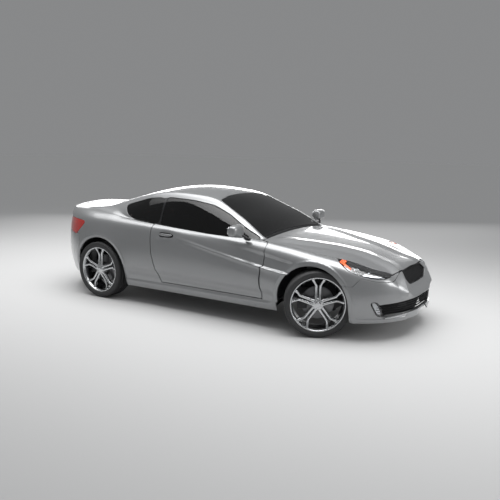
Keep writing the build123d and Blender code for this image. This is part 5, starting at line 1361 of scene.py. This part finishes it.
def make_grilles():
    """The upper opening's diamond mesh and rim, and the lower opening's slats, each with a dark back."""
    rim = both(in_upper_grille + 0.0005, over(in_upper_grille + 0.013))
    place(panel("grille_rim", rim, 0.030, 0.004, -0.003), BODY, "black_plastic", GLOSS_BLACK,
          replaces=["grilles"])
    place(panel("grille_back", in_upper_grille + 0.001, 0.004, 0.001, -0.036), BODY, "black_plastic", BLACK)
    place(panel("intake_back", in_lower_grille - 0.004, 0.004, 0.001, -0.050), BODY, "black_plastic", BLACK,
          replaces=["grilles"])
    shape = rounded(FRONT["upper_grille"], 2)
    lines = []
    for c in np.arange(-0.45, 0.46, MESH_PITCH):
        low, high = c - MESH_LEAN, c + MESH_LEAN
        lines += [((low, 0.50), (high, 0.67)), ((high, 0.50), (low, 0.67))]
    p, f = lattice(lines, shape, 0.48, 0.66, 0.014, (0.0026, 0.0030))
    place(new_object("grille_mesh", p, np.concatenate(f)), BODY, "black_plastic", BLACK)
    shape = rounded(FRONT["lower_grille"], 2, 0.12)
    lines = [((-0.70, z), (0.70, z)) for z in SLAT_HEIGHTS]
    p, f = lattice(lines, shape, 0.23, 0.42, 0.022, (0.010, 0.0035))
    y = np.linspace(-LIP_HALF, LIP_HALF, 81)
    front = np.interp(abs(y), [0, 0.20, 0.35, 0.50, LIP_HALF], [2.288, 2.283, 2.262, 2.205, 2.125])
    line = np.stack([front, y, np.interp(abs(y), [0, 0.3, LIP_HALF], [0.246, 0.243, 0.232])], -1)
    q, g = swept(line, np.stack([0.016 + 0 * y, 0.017 * (1 - 0.6 * (abs(y) / LIP_HALF) ** 3)], -1))
    place(new_object("front_lip", q, g), BODY, "paint", PAINT)
    place(new_object("intake_slats", p, np.concatenate(f)), BODY, "black_plastic", BLACK)


make_grilles()

# %% [markdown]
# ## Seats
# A seat is foam under a sewn cover: raised sides, a hollow middle, and seams that pull the cloth in.
# Cloth simulation would give folds. It takes long to settle, and the photograph only shows the seats as
# dark shapes behind glass. So each pad is a rounded form with its top moved by the same steps and bells
# as the body's creases.
# %% How a pad is sewn
# columns: name, middle y, half width, front x, rear x, top x, top z
SEAT_ROWS = (("right", -0.370, 0.250, 0.150, -0.330, -0.510, 1.000),
             ("left", 0.370, 0.250, 0.150, -0.330, -0.510, 1.000),
             ("rear", 0.0, 0.580, -0.620, -0.960, -1.085, 0.940))
PAD_POWER = (4.5, 6)
PAD_AROUND, PAD_ALONG = 96, 65


def sewn(p, bench):
    """A pad's top with raised sides, a hollow middle and seams lengthwise and across.
    On the bench, distance sideways is counted from the middle of each of its two places."""
    q = p.copy()
    out = abs(abs(p[..., 1]) - 0.5) * 1.8 if bench else abs(p[..., 1])
    up = np.clip(p[..., 2], 0, 1)
    q[..., 2] = p[..., 2] + up * (0.35 * smooth_step(out, 0.45, 0.85) - 0.22 * bump_at(out, 0.55, 0.05)
                                  - 0.16 * bump_at(p[..., 0], 0.15, 0.05) * (out < 0.55)) - 0.2 * up
    return q


def leaning(p, bench):
    """The same pad turned upright: its top face looks forwards, and it leans back."""
    q = sewn(p, bench)
    return np.stack([q[..., 2] * 0.34 - 0.30 * q[..., 0], q[..., 1], q[..., 0]], -1)


# %% Two front seats and a bench
def make_seat(name, y, wide, front, back, top_x, top_z):
    """A pad, a backrest and, in front, a headrest and a base, as rounded forms about the seat's crease."""
    bench = name == "rear"
    long, high = (front - back) / 2, (top_z - 0.50) / 2
    p, f = crowned(((front + back) / 2 - 0.01, y, 0.455), (long, wide, 0.075), PAD_POWER, PAD_AROUND,
                   PAD_ALONG, lambda q: sewn(q, bench))
    soft = [new_object(f"seat_pad_{name}", p, f)]
    p, f = crowned(((back + top_x) / 2 + 0.015, y, 0.50 + high), (0.25, wide - 0.01, high), PAD_POWER,
                   PAD_AROUND, PAD_ALONG, lambda q: leaning(q, bench))
    soft.append(new_object(f"seat_back_{name}", p, f))
    if not bench:
        p, f = crowned((top_x + 0.012, y, top_z + 0.062), (0.040, 0.128, 0.058), (3, 4))
        soft.append(new_object(f"seat_head_{name}", p, f))
    for piece in soft:
        place(piece, BODY, "fabric", FABRIC, replaces=["seats"])
    if not bench:
        p, f = crowned(((front + back) / 2 - 0.02, y, 0.33), (long - 0.03, wide - 0.03, 0.075), (8, 10))
        place(new_object(f"seat_base_{name}", p, f), BODY, "trim", TRIM)


for row in SEAT_ROWS:
    make_seat(*row)

# %% [markdown]
# ## Nodes that stay as they are
# Floor, cowl, dashboard, engine, suspensions, liners, exhaust and shelf hardly show, and their solids
# already have the right form. They keep their meshes and only get a finish. A node with no entry in the
# table takes the finish that its own slot names.
# %% Finishes for the nodes that stay
STAYING = {"floor_pan": "underbody", "cowl": "underbody", "dashboard": "trim", "engine": "cast_iron",
           "front_suspension": "underbody", "rear_suspension": "underbody", "arch_liners": "black_plastic",
           "exhaust": "steel", "rear_deck": "trim"}
for name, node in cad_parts.items():
    slots = [m.name for m in node.data.materials if m]
    found = STAYING.get(name) or next((s for s in SLOTS if any(s in m for m in slots)), "trim")
    node.data.materials.clear()
    node.data.materials.append(SLOTS[found])
print("nodes given a finish by name:", ", ".join(STAYING))

# %% [markdown]
# ## Floor, lamps and sky
# A car is photographed as a mirror is: what shows in the paint is the room. A few large soft lamps leave
# long highlights that show each crease, where a point lamp would leave dots. The sky is bright for
# lighting but plain and dimmer to the camera and in reflections, so that it meets the floor without a
# line.
# %% The floor
FLOOR_HALF = 60.0


def make_floor():
    """A square of FLOOR_HALF each way at height 0, with its one face looking up."""
    s = FLOOR_HALF
    floor = new_object("floor", [(-s, -s, 0), (s, -s, 0), (s, s, 0), (-s, s, 0)],
                       np.array([(0, 1, 2, 3)]), smooth=False)
    paper = material("floor_paper", (0.46, 0.46, 0.46), roughness=0.9, specular_ior_level=0.1)[0]
    floor.data.materials.append(paper)


make_floor()

# %% Three soft lamps
LAMP_SPREAD = 1.9
# columns: name, place, aim, size, power in watts
LAMPS = (("lamp_over", (-0.6, -0.2, 5.6), (-0.6, -0.2, 0.5), (11.0, 4.6), 330.0),
         ("lamp_behind", (-4.2, 8.0, 2.0), (0.2, 0, 1.4), (12.0, 2.2), 160.0),
         ("lamp_front", (8.0, 1.5, 3.0), (1.5, 0, 0.5), (3.5, 3.0), 60.0))


def make_lamp(name, spot, aim, size, power):
    """A rectangular lamp at a spot, with its -Z axis turned towards its aim. The camera doesn't see it."""
    data = bpy.data.lights.new(name, "AREA")
    data.shape = "RECTANGLE"
    data.size, data.size_y = size
    data.energy = power
    data.spread = LAMP_SPREAD
    lamp = bpy.data.objects.new(name, data)
    lamp.visible_camera = False
    turn = (Vector(aim) - Vector(spot)).to_track_quat("-Z", "Y").to_matrix().to_4x4()
    lamp.matrix_world = Matrix.Translation(spot) @ turn
    bpy.context.scene.collection.objects.link(lamp)
    print(f"{name}: {power:.0f} W")


for row in LAMPS:
    make_lamp(*row)


# %% The sky
SKY_LIGHT, SKY_STRENGTH = (0.74, 0.75, 0.76, 1), 0.72
SKY_SEEN = (0.245, 0.248, 0.252, 1)


def make_sky():
    """One background for light, and another where a camera, glossy or transmission ray asks."""
    world = bpy.data.worlds.new("sky")
    world.use_nodes = True
    tree = world.node_tree
    shade = tree.nodes["Background"]
    shade.inputs["Color"].default_value = SKY_LIGHT
    shade.inputs["Strength"].default_value = SKY_STRENGTH
    seen = tree.nodes.new("ShaderNodeBackground")
    seen.inputs["Color"].default_value = SKY_SEEN
    path = tree.nodes.new("ShaderNodeLightPath")
    most = path.outputs["Is Camera Ray"]
    for other in ("Is Glossy Ray", "Is Transmission Ray"):
        more = tree.nodes.new("ShaderNodeMath")
        more.operation = "MAXIMUM"
        link(tree, most, more.inputs[0])
        link(tree, path.outputs[other], more.inputs[1])
        most = more.outputs[0]
    mixed = tree.nodes.new("ShaderNodeMixShader")
    link(tree, most, mixed.inputs[0])
    link(tree, shade.outputs[0], mixed.inputs[1])
    link(tree, seen.outputs[0], mixed.inputs[2])
    link(tree, mixed.outputs[0], tree.nodes["World Output"].inputs["Surface"])
    bpy.context.scene.world = world
    bpy.context.scene.view_settings.view_transform = "Standard"


make_sky()
